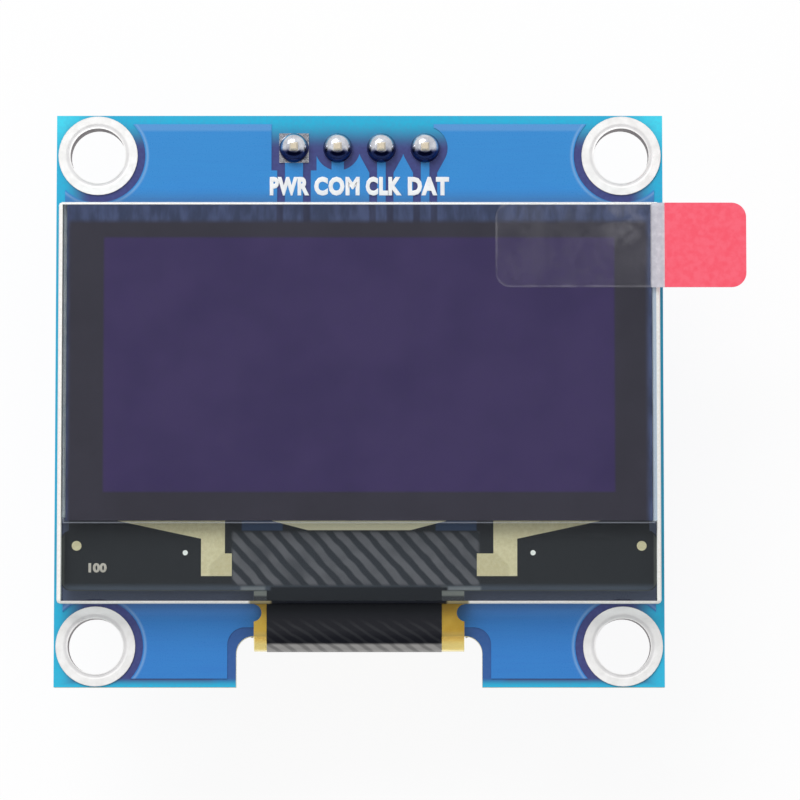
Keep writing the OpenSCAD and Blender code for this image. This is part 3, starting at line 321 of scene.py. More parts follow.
def lacquer(name, lower, upper, shade=None):
    """Glossy blue lacquer over copper: faint streaks, a slight ripple, and a painted highlight as a
    pale line round the holes and at the copper's top edge. With a shade, it takes a painted shadow
    under and just round the panel."""
    look = Look(name)
    broad = look.noise(0.12, 2, 0.5)
    streak = look.noise(1.0, 3, 0.6, (0.3, 7, 1))
    grain = look.noise(14, 2, 0.6)
    upward = look.rise(look.y, BOARD_LOW.y, BOARD_HIGH.y, 0.0, 0.8)
    uneven = look.add(look.vary(broad, 0.0, 0.2), look.vary(streak, 0.0, 0.22))
    colour = look.mix(look.add(upward, uneven), lower, upper)
    # Painted highlight: a pale line where the lacquer runs over the copper's edge
    away = look.from_holes()
    hole_line = look.times(look.rise(away, 2.78, 2.86), look.rise(away, 3.02, 2.88))
    top_line = look.times(look.rise(look.y, 15.62, 15.8), 0.5)
    edge_highlight = look.times(look.most(hole_line, top_line), 0.45)
    colour = look.mix(edge_highlight, colour, rgb(150, 188, 228))
    if shade:
        # Painted shadow of the panel: partial just round it, full under it
        from_panel = look.from_box(GLASS_LOW, GLASS_HIGH, 0.2)
        colour = look.mix(look.rise(from_panel, 1.1, 0.0, 0.0, 0.4), colour, shade)
        colour = look.mix(look.rise(from_panel, 0.0, -0.25), colour, shade)
    look.set(color=colour, rough=look.rise(grain, 0.2, 0.8, 0.24, 0.38),
             specular=0.4, coat=0.3, coat_rough=0.08)
    look.bump(look.add(look.times(streak, 0.4), look.times(grain, 0.3)), 0.003)
    return look


def make_laminate():
    """Bare glass-fibre board under lacquer: violet-navy inside, cyan painted light at the rim where
    light comes through, brighter at the corners and by the notch, paler blue painted light at the
    back's rim, a painted shadow under the panel, and cream on the cut sides."""
    look = Look("laminate")
    weave = look.noise(5, 2, 0.5)
    layers = look.noise(1.0, 3, 0.7, (1.2, 1.2, 14))
    up = look.facing()
    side = look.rise(look.size(up), 0.7, 0.4)

    from_side = look.less(BOARD_HIGH.x, look.size(look.x))
    from_end = look.less(BOARD_HIGH.y, look.size(look.y))
    # The cyan strip of painted light is narrower along the lower edge
    narrowing = look.rise(look.y, -5, 5, 3.6, 1.0)
    from_rim = look.least(from_side, look.times(from_end, narrowing))
    # Brighter painted light toward the corners, most at the top
    corner = look.times(look.rise(from_side, 2.6, 0.2), look.rise(from_end, 2.6, 0.2),
                        look.rise(look.y, -5, 5, 0.2, 1.0))
    cyan = look.mix(corner, rgb(46, 184, 224, 0.012), rgb(72, 222, 248, 0.012))
    # Painted light by the notch turns the violet-navy to blue
    notch = look.times(look.inside(NOTCH_PAINTED_LIGHT, 0.3), 0.7)
    violet = look.mix(notch, rgb(70, 74, 130, 0.01), rgb(48, 106, 174, 0.01))
    front = look.mix(look.rise(from_rim, 0.2, 2.0), cyan, violet)
    # Painted shadow under the panel
    from_panel = look.from_box(GLASS_LOW, GLASS_HIGH, 0.2)
    front = look.mix(look.rise(from_panel, 0.05, -0.2), front, rgb(20, 24, 60))

    # Painted light at the back's rim, paler blue than the navy inside
    back = look.mix(look.rise(from_rim, 0.1, 0.9), rgb(34, 92, 158, 0.015), rgb(44, 46, 92, 0.015))
    face = look.mix(look.rise(up, -0.2, 0.2), back, front)
    face = look.mix(look.vary(weave, 0, 0.12), face, rgb(90, 120, 180))
    cut = look.tone(layers, rgb(214, 212, 178), rgb(238, 236, 214))
    look.set(color=look.mix(side, face, cut), rough=look.rise(side, 0, 1, 0.3, 0.75),
             specular=0.4, coat=look.rise(side, 0, 1, 0.3, 0.0), coat_rough=0.1)
    look.bump(look.add(look.times(weave, 0.4), look.times(layers, side)), 0.008)
    return look


def make_ring():
    """Tinned eyelet: bright flat ring with a faint turned edge, and a bore greyed by painted shade.
    """
    look = Look("tinned_ring")
    lumps = look.noise(1.6, 3, 0.6)
    away = look.from_holes()
    side = look.rise(look.size(look.facing()), 0.7, 0.3)
    lip = look.times(look.rise(away, 1.62, 1.7), look.rise(away, 1.9, 1.76))
    flat = look.tone(lumps, rgb(247, 246, 244), rgb(253, 252, 251))
    flat = look.mix(look.times(look.rise(away, 2.22, 2.34), 0.6), flat, rgb(214, 208, 205))
    flat = look.mix(look.times(lip, 0.45), flat, rgb(200, 198, 200))
    # The bore's walls take a grey painted shade
    look.set(color=look.mix(side, flat, rgb(130, 122, 124)), metal=0.3,
             rough=look.vary(lumps, 0.4, 0.55), specular=0.3)
    look.bump(look.add(look.times(lip, -0.8), look.times(lumps, 0.4)), 0.02)
    return look


def make_solder():
    """Shiny solder of a pin: silver, with a navy painted reflection on the flank that faces the
    display and a darker painted reflection round its steep foot.
    """
    look = Look("solder")
    lumps = look.noise(2, 3, 0.6)
    fine = look.noise(16, 2, 0.5)
    normal = look.split(look.node("ShaderNodeNewGeometry").outputs["Normal"])
    uneven = look.times(look.less(lumps, 0.5), 0.3)
    # Painted reflection: navy on the flank that faces the display
    flank = look.rise(look.add(normal[1], uneven), 0.0, -0.34)
    foot = look.rise(normal[2], 0.62, 0.42)
    silver = look.tone(lumps, rgb(184, 186, 194), rgb(214, 216, 222))
    # Painted reflection: darker round the steep foot
    silver = look.mix(look.times(foot, 0.75), silver, rgb(92, 98, 122))
    look.set(color=look.mix(flank, silver, rgb(46, 54, 96)), metal=1.0,
             rough=look.rise(fine, 0.2, 0.8, 0.14, 0.24))
    look.bump(look.add(lumps, look.times(fine, 0.3)), 0.005)
    return look


def make_pin():
    """Plated pin: pale where it ends in the solder, gold by the header, steel-dark along its
    middle, bright at its tip."""
    look = Look("pin_metal")
    lumps = look.noise(5, 3, 0.6)
    gilt = look.tone(lumps, rgb(212, 190, 120), rgb(226, 206, 146))
    shaft = look.tone(lumps, rgb(150, 142, 122), rgb(164, 156, 136))
    colour = look.mix(look.rise(look.z, -4.4, -5.2), gilt, shaft)
    colour = look.mix(look.rise(look.z, -8.6, -9.2), colour, rgb(240, 236, 224))
    top = look.rise(look.z, -0.2, 0.2)
    look.set(color=look.mix(top, colour, rgb(236, 222, 196)),
             metal=look.rise(top, 0, 1, 1.0, 0.25), rough=look.vary(lumps, 0.16, 0.28))
    look.bump(lumps, 0.004)
    return look


def make_contacts(name, main, light):
    """Solder or gold on the film's contacts, each with a small dark gold hole in one of two rows."""
    look = Look(name)
    lumps = look.noise(3, 3, 0.6)
    lane = look.math("DIVIDE", look.x, PAD_PITCH)
    nearest = look.math("ROUND", look.add(lane, 0.5))
    across = look.times(look.less(lane, look.less(nearest, 0.5)), PAD_PITCH)
    odd = look.math("PINGPONG", nearest, 1.0)
    row = look.add(look.times(odd, PAD_HOLE_STAGGER), PAD_HOLE_ROW)
    hole = look.rise(look.length(across, look.less(look.y, row)), 0.13, 0.08)
    colour = look.tone(lumps, main, light)
    look.set(color=look.mix(look.times(hole, 0.8), colour, rgb(150, 104, 30)), metal=0.15,
             rough=look.vary(lumps, 0.3, 0.42), specular=0.5)
    look.bump(look.less(look.times(lumps, 0.4), hole), 0.01)
    return look


def make_ledge_gold():
    """Pale gold of the ledge's contacts: painted light on the middle one, painted shade along a soft
    crease across each foot, white dots."""
    look = Look("pale_gold")
    fine = look.noise(5, 3, 0.6)
    off = look.size(look.x)
    tone = look.tone(fine, rgb(220, 205, 164), rgb(230, 217, 180))
    # Painted shade along the crease of each foot
    crease = look.rise(look.add(look.less(8.15, off), look.less(-9.2, look.y)), -0.08, 0.08)
    foot = look.times(look.rise(look.y, -8.75, -8.8), look.rise(off, 8.7, 8.5))
    tone = look.mix(look.times(crease, look.times(foot, 0.35)), tone, rgb(188, 172, 132))
    # Painted light on the middle contact
    centre = look.inside(MIDDLE_CONTACT)
    tone = look.mix(look.times(centre, 0.8), tone, rgb(252, 240, 206))
    look.set(color=look.mix(look.inside_any(WHITE_DOTS, 0.02), tone, rgb(250, 248, 244)),
             rough=look.rise(fine, 0.25, 0.75, 0.32, 0.5))
    look.bump(fine, 0.003)
    return look


def make_polariser():
    """Dark film over the glass: violet over the picture, near black round it, bluish by its rim,
    where the board's tracks from the first, third and fourth pin show through."""
    gloss = 0.014
    look = Look("polariser")
    grain = look.noise(9, 3, 0.6)
    blotch = look.noise(0.25, 2, 0.5)
    streaks = look.noise(1.4, 3, 0.6, (1, 0.3, 1))
    violet = look.tone(blotch, rgb(62, 54, 90, gloss), rgb(67, 58, 95, gloss))
    black = look.tone(blotch, rgb(58, 57, 65, gloss), rgb(61, 60, 69, gloss))
    rim = look.mix(look.rise(streaks, 0.35, 0.7), rgb(60, 68, 92, gloss), rgb(76, 86, 118, gloss))
    tracks = 0.0
    for pin, half_width in ((1, 0.525), (3, 0.25), (4, 0.25)):
        low, high = box_mm(f"header_pin_{pin}")
        off = look.size(look.less(look.x, (low.x + high.x) / 2))
        gap = look.times(look.rise(off, half_width, half_width + 0.12),
                         look.rise(off, half_width + 0.5, half_width + 0.38))
        tracks = look.most(tracks, gap)
    rim = look.mix(look.times(tracks, 0.6), rim, rgb(52, 52, 66, gloss))
    round_picture = look.mix(look.inside(BLACK_BORDER, 0.2), rim, black)
    picture = look.inside(box_mm("picture_layer"), 0.1)
    look.set(color=look.mix(picture, round_picture, violet), rough=look.vary(grain, 0.22, 0.26),
             specular=0.5)
    look.bump(grain, 0.0002)
    return look


def make_glass():
    """The front glass: a clear sheet with frosted, cream-white ground edges, whose brightness is
    partly a painted highlight. Where the polariser doesn't cover it, it is painted pale toward +X, as
    painted light."""
    look = Look("front_glass")
    specks = look.noise(9, 3, 0.6)
    up = look.size(look.facing())
    off = look.size(look.x)
    # The ground edges' cream is partly a painted highlight
    cream = look.tone(specks, rgb(242, 240, 234), rgb(253, 252, 250))
    pale = look.tone(specks, rgb(176, 204, 204), rgb(206, 224, 222))
    edge = look.mix(look.rise(up, 0.15, 0.4), pale, cream)
    # The lower edge is brown with glue beside the film's neck, and dark over it as a painted
    # reflection of the black neck
    lower_edge = look.rise(look.y, GLASS_LOW.y + 0.4, GLASS_LOW.y + 0.3)
    edge = look.mix(look.times(lower_edge, look.rise(off, 6.4, 6.2)), edge, rgb(150, 140, 104))
    edge = look.mix(look.times(lower_edge, look.rise(off, 5.15, 4.95)), edge, rgb(24, 27, 34))
    # Painted light: a pale band where the polariser leaves the glass bare, paler toward +X
    uncovered = look.rise(look.from_box(POL_LOW, POL_HIGH, 0.05), 0.0, 0.06)
    painted_light_band = look.times(uncovered, look.rise(look.y, POL_LOW.y - 0.05, POL_LOW.y + 0.05))
    edge = look.mix(look.times(painted_light_band, look.rise(up, 0.97, 0.99)), edge, rgb(190, 208, 224))
    look.set(color=edge, rough=look.vary(specks, 0.35, 0.55), specular=0.4)
    look.bump(specks, 0.006)
    painted_light_share = look.times(painted_light_band, look.rise(look.x, -5, 5, 0.02, 0.9))
    clear = look.less(look.rise(up, 0.975, 0.99), painted_light_share)
    look.blend(look.most(clear, 0.0), look.sheet((0.955, 0.985, 0.98, 1)))
    return look


def make_rear_glass():
    """The rear glass: pale on its faces, with blue-grey ground sides."""
    look = Look("rear_glass")
    haze = look.noise(1.2, 2, 0.5)
    side = look.rise(look.size(look.facing()), 0.7, 0.4)
    face = look.tone(haze, rgb(216, 226, 236), rgb(246, 249, 252))
    ground = look.tone(haze, rgb(188, 210, 214), rgb(206, 224, 226))
    look.set(color=look.mix(side, face, ground), rough=look.vary(haze, 0.2, 0.35), specular=0.4)
    look.bump(haze, 0.003)
    return look


def make_coat():
    """Black coat: plain on the wings, broad slanting stripes over the middle where the traces run
    under it, plain again down the neck but for painted highlights on its threads, and a grey painted
    sheen where it turns over the fold."""
    look = Look("black_coat")
    fine = look.noise(12, 2, 0.6)
    wobble = look.times(look.noise(0.9, 2, 0.5), 0.22)

    # The part on the ledge
    slant = look.add(look.times(look.x, 0.74), look.times(look.y, 0.67))
    wave = look.math("SINE", look.times(look.add(slant, wobble), 8.2))
    fade = look.rise(look.noise(0.5, 2, 0.5), 0.25, 0.6, 0.45, 1.0)
    stripe = look.times(look.rise(wave, -0.6, 0.4), fade)
    hatch = look.inside(HATCH, 0.12)
    stripes = look.mix(stripe, rgb(47, 50, 57), rgb(102, 100, 106))
    wing = look.tone(fine, rgb(36, 38, 41), rgb(42, 43, 47))
    wing = look.mix(look.rise(look.y, -10.6, -10.95), wing, rgb(70, 76, 88))
    wing = look.mix(look.rise(look.size(look.x), 16.88, 17.0), wing, rgb(84, 84, 82))
    wing = look.mix(hatch, wing, stripes)
    wing = look.mix(look.times(look.inside_any(SLIVERS, 0.06), 0.8), wing, rgb(60, 80, 116))
    # Grey glue spots, lightened by a painted highlight
    wing = look.mix(look.times(look.inside_any(GLUE_HIGHLIGHT_SPOTS, 0.1), 0.7), wing, rgb(136, 138, 142))

    # The neck: fine threads, with painted highlights where it bends
    slope = look.add(look.times(look.x, 0.55), look.add(look.times(look.y, 0.84), wobble))
    thread = look.math("SINE", look.times(slope, 13))
    neck = look.mix(look.rise(look.y, -12.2, -12.9), rgb(20, 24, 30), rgb(26, 27, 33))
    thread_highlight = look.times(look.rise(thread, 0.1, 0.9), look.rise(look.y, -12.6, -13.2))
    neck = look.mix(look.times(thread_highlight, 0.16), neck, rgb(84, 86, 88))
    # Painted sheen where the neck turns over the fold
    sheen = look.times(look.rise(look.y, -14.05, -14.22), look.rise(thread, -0.9, 0.3, 0.6, 1.0),
                       look.rise(look.z, -0.2, 0.05))
    neck = look.mix(sheen, neck, rgb(178, 176, 174))
    in_neck = look.most(look.rise(look.y, -11.0, -11.12), look.inside(NECK_TOP, 0.1))
    front = look.mix(in_neck, wing, neck)

    # Painted highlights on the back's threads by the fold
    back_thread_highlight = look.times(look.rise(thread, 0.0, 0.9), look.rise(look.y, -13.6, -14.3))
    back = look.mix(look.times(back_thread_highlight, 0.25), rgb(12, 12, 15), rgb(120, 118, 114))
    look.set(color=look.mix(look.rise(look.z, 0.05, -0.4), front, back),
             rough=look.vary(fine, 0.34, 0.46), specular=0.25)
    look.bump(look.add(look.times(stripe, look.times(hatch, 0.6)), look.times(fine, 0.25)), 0.006)
    return look


def make_film():
    """Amber film: light comes through it, so it is brown over the board and bright beyond it, where
    that light is also painted into its colour. Under the glass it is dark, and just below it grey
    with glue, its upper part lightened by a painted highlight on the glue."""
    look = Look("amber_film")
    cloud = look.noise(0.6, 3, 0.5)
    fine = look.noise(10, 2, 0.5)
    beyond = look.rise(look.y, -13.3, -14.2)
    in_front = look.rise(look.z, 0.5, 0.7)
    hidden = look.times(look.rise(look.y, -11.15, -11.0), in_front)
    glue = look.times(look.rise(look.y, -11.85, -11.7), in_front)
    amber = look.tone(cloud, rgb(214, 178, 66), rgb(234, 200, 86))
    # Painted light: beyond the board the light from behind is painted into the film's colour
    amber = look.mix(beyond, amber, rgb(255, 240, 172))
    # Glue below the glass, its upper part painted lighter as a highlight on the glue
    glue_with_highlight = look.mix(look.rise(look.y, -11.45, -11.3), rgb(52, 52, 56), rgb(124, 124, 120))
    colour = look.mix(glue, amber, glue_with_highlight)
    look.set(color=look.mix(hidden, colour, rgb(44, 44, 48)), rough=look.vary(fine, 0.16, 0.28),
             specular=0.5)
    look.bump(look.add(look.times(cloud, 0.8), look.times(fine, 0.1)), 0.02)
    tint = look.tone(cloud, (0.95, 0.72, 0.22, 1), (1.0, 0.82, 0.34, 1))
    tint = look.mix(beyond, tint, (1.0, 0.95, 0.74, 1))
    share = look.times(look.rise(beyond, 0, 1, 0.5, 0.84), look.rise(glue, 0, 1, 1.0, 0.0))
    look.blend(share, look.sheet(tint, gloss=0.03, rough=0.1))
    return look


def make_protector():
    """The clear film over the polariser: all but invisible, with a faint painted highlight along its
    edge.
    """
    look = Look("clear_film")
    fine = look.noise(4, 3, 0.6)
    low, high = box_mm("protective_film")
    # Painted highlight along the edge
    edge = look.rise(look.from_box(low, high, 0.05), -0.1, -0.03)
    look.set(color=rgb(214, 222, 238), rough=look.vary(fine, 0.15, 0.3), specular=0.5,
             alpha=look.add(look.times(edge, 0.12), look.vary(fine, 0.0, 0.006)))
    return look


def make_sticker():
    """The clear end of the pull tab: a faint haze with a painted highlight along its rim and a dark
    smudge, whitish where it bridges the glass's edge."""
    look = Look("clear_sticker")
    fine = look.noise(3, 3, 0.6)
    patch = look.noise(0.8, 3, 0.6)
    low, high = box_mm("pull_sticker")
    from_edge = look.from_box(low, high, 0.85)
    # Painted highlight along the rim
    rim = look.times(look.rise(from_edge, -0.16, -0.08), look.rise(patch, 0.3, 0.6, 0.3, 1.0))
    bridge = look.times(look.rise(look.x, POL_HIGH.x - 0.12, POL_HIGH.x + 0.05),
                        look.rise(look.x, GLASS_HIGH.x + 0.4, GLASS_HIGH.x + 0.3))
    haze = look.vary(patch, 0.012, 0.034)
    smudge = look.times(look.near(15.2, 10.2, 1.2, 1.2), look.rise(patch, 0.36, 0.7, 0.0, 0.16))
    alpha = look.most(look.add(haze, look.times(rim, 0.06)),
                      look.most(look.times(bridge, 0.72), smudge))
    white = look.tone(fine, rgb(208, 206, 216), rgb(226, 224, 232))
    smudged = look.least(look.times(smudge, 2.0), 1.0)
    look.set(color=look.mix(smudged, white, rgb(24, 30, 52)), rough=look.vary(fine, 0.1, 0.3),
             alpha=alpha, specular=0.5)
    look.bump(patch, 0.005)
    return look


LACQUER_GLOSS = 0.012
SHINE = 0.02
RED_GLOSS = 0.01

tin = metal("tin", rgb(196, 196, 200), rgb(232, 232, 234), 0.3, 0.004)
pad_tin = metal("pad_tin", rgb(160, 160, 166), rgb(232, 232, 234), 0.26, 0.012, scale=4)
chip_tin = metal("chip_tin", rgb(214, 214, 218), rgb(246, 246, 248), 0.25, 0.004, scale=3)
# The front lacquer's shade is the colour of its painted shadow under the panel
front_lacquer = lacquer("front_lacquer", rgb(58, 128, 206, LACQUER_GLOSS),
                        rgb(60, 144, 214, LACQUER_GLOSS), shade=rgb(78, 86, 112))
back_lacquer = lacquer("back_lacquer", rgb(44, 114, 192, LACQUER_GLOSS),
                       rgb(50, 124, 202, LACQUER_GLOSS))
contact_solder = make_contacts("contact_solder", rgb(246, 245, 246), rgb(254, 254, 255))
contact_gold = make_contacts("contact_gold", rgb(255, 212, 76), rgb(255, 228, 98))
gold = plastic("gold", rgb(248, 200, 66), rgb(255, 216, 90), 0.35, 6, 0.002)
white_ink = plastic("white_ink", rgb(240, 240, 242, SHINE), rgb(250, 250, 250, SHINE),
                    0.5, 12, 0.006)
grey_ink = plastic("grey_ink", rgb(176, 168, 158), rgb(200, 192, 182), 0.5, 12, 0.002)
foam = plastic("foam", rgb(222, 222, 216), rgb(240, 240, 236), 0.8, 5, 0.05)
dark_layer = plastic("picture_layer", rgb(50, 44, 72), rgb(58, 50, 84), 0.3)
yellow = plastic("yellow_plastic", rgb(238, 224, 86, SHINE), rgb(246, 234, 108, SHINE),
                 0.4, 5, 0.008, glow=0.15, glow_depth=0.0006)
red = plastic("red_film", rgb(253, 88, 109, RED_GLOSS), rgb(255, 103, 123, RED_GLOSS),
              0.45, 26, 0.004)
tan = plastic("tan_ceramic", rgb(184, 160, 128, SHINE), rgb(206, 184, 150, SHINE),
              0.45, 10, 0.006)
black_ceramic = plastic("black_ceramic", rgb(44, 44, 48, SHINE), rgb(56, 56, 60, SHINE),
                        0.3, 10, 0.004)
grey_resin = plastic("grey_resin", rgb(66, 66, 68, SHINE), rgb(84, 84, 84, SHINE), 0.5, 10, 0.008)
dark_resin = plastic("dark_resin", rgb(66, 68, 70, SHINE), rgb(80, 82, 84, SHINE), 0.5, 10, 0.008)
silicon = plastic("silicon", rgb(64, 64, 74, SHINE), rgb(80, 80, 92, SHINE), 0.12)
solder = make_solder()


def dress(look, *names):
    """Gives a material to CAD nodes."""
    for name in names:
        mesh = nodes[name].data
        mesh.materials.clear()
        mesh.materials.append(look.data)


def numbered(name, count):
    """The names name_1 to name_count."""
    return [f"{name}_{n}" for n in range(1, count + 1)]


dress(make_laminate(), "circuit_board")
dress(front_lacquer, "front_copper")
dress(back_lacquer, "back_copper")
dress(make_ring(), *numbered("hole_plating", 4))
dress(white_ink, "back_legend")
dress(pad_tin, "pin_pads")
dress(tin, "chip_pads", "chip_caps", "regulator_leads")
dress(foam, "foam_tape")
dress(make_rear_glass(), "rear_glass")
dress(dark_layer, "picture_layer")
dress(make_glass(), "display_glass")
dress(make_polariser(), "polariser")
dress(make_protector(), "protective_film")
dress(make_sticker(), "pull_sticker")
dress(red, "pull_tab")
dress(silicon, "driver_chip")
dress(make_film(), "flex_film")
dress(make_coat(), "flex_coat")
dress(make_ledge_gold(), "ledge_contacts")
dress(contact_gold, "flex_tracks")
dress(contact_solder, "flex_joints")
dress(yellow, "header_body")
dress(make_pin(), *numbered("header_pin", 4))
dress(solder, *numbered("solder_cone", 4))
dress(chip_tin, "chip_solder")
dress(tan, *numbered("capacitor", 8))
dress(black_ceramic, *numbered("resistor", 5), "address_link")
dress(grey_resin, "diode")
dress(dark_resin, "regulator")


def soften(width_mm, segments, *names):
    """Rounds a CAD node's edges for the render. Its faces come apart from one another, so their
    corners are joined first."""
    for name in names:
        weld = nodes[name].modifiers.new("joined", "WELD")
        weld.merge_threshold = 0.001 * MM
        bevel = nodes[name].modifiers.new("soft_edges", "BEVEL")
        bevel.width = width_mm * MM
        bevel.segments = segments
        bevel.limit_method = "ANGLE"
        bevel.angle_limit = math.radians(40)


soften(0.2, 2, "display_glass")
soften(0.06, 2, "header_body")
soften(0.04, 2, "regulator", "diode")
soften(0.035, 2, "chip_caps", "regulator_leads")
soften(0.05, 3, "flex_joints")


# ---- Pieces ----

def piece(name, mesh, look):
    """Adds a piece of the module's own to the scene."""
    made = bpy.data.objects.new(name, mesh)
    bpy.context.scene.collection.objects.link(made)
    mesh.materials.clear()
    mesh.materials.append(look.data)
    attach(made, "root")
    return made


DOME_RINGS, DOME_SIDES = 14, 48
DOME_ARC = math.radians(66)


def make_dome(number):
    """A pin's solder: a round bright dome that climbs the pin, in the place of the CAD's cone."""
    low, high = box_mm(f"solder_cone_{number}")
    centre = (low + high) / 2
    radius = (high.x - low.x) / 2
    height = high.z - low.z
    mesh = bmesh.new()
    loops = []
    for k in range(DOME_RINGS + 1):
        angle = k / DOME_RINGS * DOME_ARC
        r = radius * math.cos(angle)
        z = low.z + height * math.sin(angle) / math.sin(DOME_ARC)
        loop = []
        for s in range(DOME_SIDES):
            turn = 2 * math.pi * s / DOME_SIDES
            corner = Vector((centre.x + r * math.cos(turn), centre.y + r * math.sin(turn), z))
            loop.append(mesh.verts.new(corner * MM))
        loops.append(loop)
    for a, b in zip(loops, loops[1:]):
        for s in range(DOME_SIDES):
            t = (s + 1) % DOME_SIDES
            mesh.faces.new((a[s], a[t], b[t], b[s])).smooth = True
    mesh.faces.new(loops[-1]).smooth = True
    mesh.faces.new(loops[0][::-1])
    data = bpy.data.meshes.new(f"solder_dome_{number}")
    mesh.to_mesh(data)
    mesh.free()
    dome = piece(f"solder_dome_{number}", data, solder)
    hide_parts(f"solder_cone_{number}")


for n in range(1, 5):
    make_dome(n)

CAPITAL = 0.729  # height of a capital letter of the font at size 1


def lettering(name, words, height, place, look=white_ink, turn=0.0, back=False,
              thick=0.03, bold=0.07, width=None, spread=1.0):
    """Printed characters, in millimetres. place is the middle of the line at mid height, and on
    the back its first number runs across as seen from behind."""
    curve = bpy.data.curves.new(name, "FONT")
    curve.body = words
    curve.size = 1.0
    curve.align_x = "CENTER"
    curve.space_character = spread
    curve.resolution_u = 3
    text = bpy.data.objects.new(name, curve)
    bpy.context.scene.collection.objects.link(text)
    scale = height / CAPITAL
    curve.bevel_depth = bold / scale
    curve.bevel_resolution = 2
    bpy.context.view_layer.update()
    natural = (text.bound_box[6][0] - text.bound_box[0][0]) * scale
    squeeze = width / natural if width else 1.0
    mesh = bpy.data.meshes.new_from_object(text.evaluated_get(bpy.context.evaluated_depsgraph_get()))
    bpy.data.objects.remove(text)
    x, y, z = place
    move = Matrix.Translation((x, y, z))
    if back:
        move = Matrix.Translation((-x, y, z)) @ Matrix.Rotation(math.pi, 4, "Y")
    mesh.transform(Matrix.Scale(MM, 4) @ move @ Matrix.Rotation(math.radians(turn), 4, "Z")
                   @ Matrix.Diagonal((scale * squeeze, scale, scale * thick / 2 / bold, 1))
                   @ Matrix.Translation((0, -CAPITAL / 2, 0)))
    mesh.name = name
    piece(name, mesh, look)


# The print stands clear of the lacquer by this much at its middle
PRINT_LIFT = 0.011
BACK_PRINT = BACK_Z - PRINT_LIFT

for word, x, width in (("PWR", -4.13, 2.3), ("COM", -1.3, 2.65), ("CLK", 1.34, 2.1),
                       ("DAT", 3.97, 2.4)):
    lettering(f"pin_label_{word.lower()}", word, 0.98, (x, 12.5, PRINT_LIFT), bold=0.085,
              width=width, spread=1.12)

PART_PITCH = 1.846
PARTS_IN_ROW = 13
LAST_NUMBER = 23
for k in range(PARTS_IN_ROW):
    number = LAST_NUMBER - k
    across = (k - PARTS_IN_ROW // 2) * PART_PITCH + 0.05
    lettering(f"part_number_{number}", str(number), 1.15, (across, 1.3, BACK_PRINT), turn=90,
              back=True, width=1.6)

for name, words, height, across, y, width in (
        ("part_number_24", "24", 1.15, 12.2, 7.7, 1.6),
        ("part_number_25", "25", 1.15, 12.1, 4.45, 1.6),
        ("link_number_1", "1000", 1.2, -13.95, 5.22, 3.5),
        ("link_number_2", "2000", 1.2, -4.85, 5.22, 3.6),
        ("number_row_1", "20 21 22 23 24 25", 1.2, -9.5, 10.28, 13.3),
        ("number_row_2", "1 2 3 4 5 6 7 8 9 10 11 12", 1.2, -8.4, 7.7, 15.5)):
    lettering(name, words, height, (across, y, BACK_PRINT), back=True, width=width)

resistor_z = box_mm("resistor_1")[0].z
for n in range(1, 6):
    low, high = box_mm(f"resistor_{n}")
    lettering(f"resistor_mark_{n}", "100", 0.52,
              (-(low.x + high.x) / 2, (low.y + high.y) / 2, resistor_z - 0.002), grey_ink, turn=90,
              back=True, thick=0.012, bold=0.03)
lettering("ledge_mark", "100", 0.5, (-15.1, -9.75, COAT_TOP + 0.003), grey_ink, thick=0.006,
          bold=0.035, width=1.05)
for words, across, y in (("30", -9.3, -10.7), ("1", 9.9, -10.8)):
    lettering(f"film_mark_{words}", words, 0.8, (across, y, BACK_FILM - 0.002), gold,
              turn=180, back=True, thick=0.012, bold=0.03)


# ---- Stage, in metres: pale floor, soft light, camera ----

FLOOR_HALF = 1.2
FLOOR_DROP = 0.0001
FLOOR_WHITE = 0.9  # share of plain white, so that only a trace of shadow is left
part_low, part_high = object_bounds()


def stage_floor():
    """A pale floor under the part, see-through from below."""
    mesh = bmesh.new()
    bmesh.ops.create_grid(mesh, x_segments=1, y_segments=1, size=FLOOR_HALF)
    data = bpy.data.meshes.new("floor")
    mesh.to_mesh(data)
    mesh.free()
    floor = bpy.data.objects.new("floor", data)
    floor.location = (0, 0, part_low.z - FLOOR_DROP)
    bpy.context.scene.collection.objects.link(floor)
    made = bpy.data.materials.new("floor")
    made.use_nodes = True
    tree = made.node_tree
    shader = tree.nodes["Principled BSDF"]
    shader.inputs["Base Color"].default_value = (0.97, 0.97, 0.98, 1)
    shader.inputs["Roughness"].default_value = 0.9
    shader.inputs["Specular IOR Level"].default_value = 0.0
    white = tree.nodes.new("ShaderNodeEmission")
    pale = tree.nodes.new("ShaderNodeMixShader")
    pale.inputs[0].default_value = FLOOR_WHITE
    tree.links.new(shader.outputs[0], pale.inputs[1])
    tree.links.new(white.outputs[0], pale.inputs[2])
    hidden = tree.nodes.new("ShaderNodeBsdfTransparent")
    both = tree.nodes.new("ShaderNodeMixShader")
    below = tree.nodes.new("ShaderNodeNewGeometry").outputs["Backfacing"]
    tree.links.new(below, both.inputs[0])
    tree.links.new(pale.outputs[0], both.inputs[1])
    tree.links.new(hidden.outputs[0], both.inputs[2])
    tree.links.new(both.outputs[0], tree.nodes["Material Output"].inputs["Surface"])
    data.materials.append(made)
    floor.visible_diffuse = False
    floor.visible_glossy = False
    floor.visible_transmission = False
    floor.visible_shadow = False


def lamp(name, place, size, power):
    """A square lamp that looks at the part."""
    data = bpy.data.lights.new(name, "AREA")
    data.size = size
    data.energy = power
    made = bpy.data.objects.new(name, data)
    made.location = place
    made.rotation_euler = (-Vector(place)).to_track_quat("-Z", "Y").to_euler()
    bpy.context.scene.collection.objects.link(made)


# Dark patches that only reflections show: direction, cosines where each starts and is full,
# and how dark it gets
DARK_CARD = ((0.0, -0.94, 0.34), 0.42, 0.64, 1.0)
CARD_FOOT = ((0.0, -1.0, -0.1), 0.7, 0.85, 0.8)
DARK_ABOVE = ((0.0, 0.087, 0.996), 0.93, 0.985, 0.75)
DARK_BELOW = ((0.0, 0.087, -0.996), 0.93, 0.985, 0.75)
PATCH_COLOUR = (0.03, 0.04, 0.09, 1)
ROOM_LIGHT = 0.62  # strength for diffuse light. The camera, gloss and clear sheets see 1


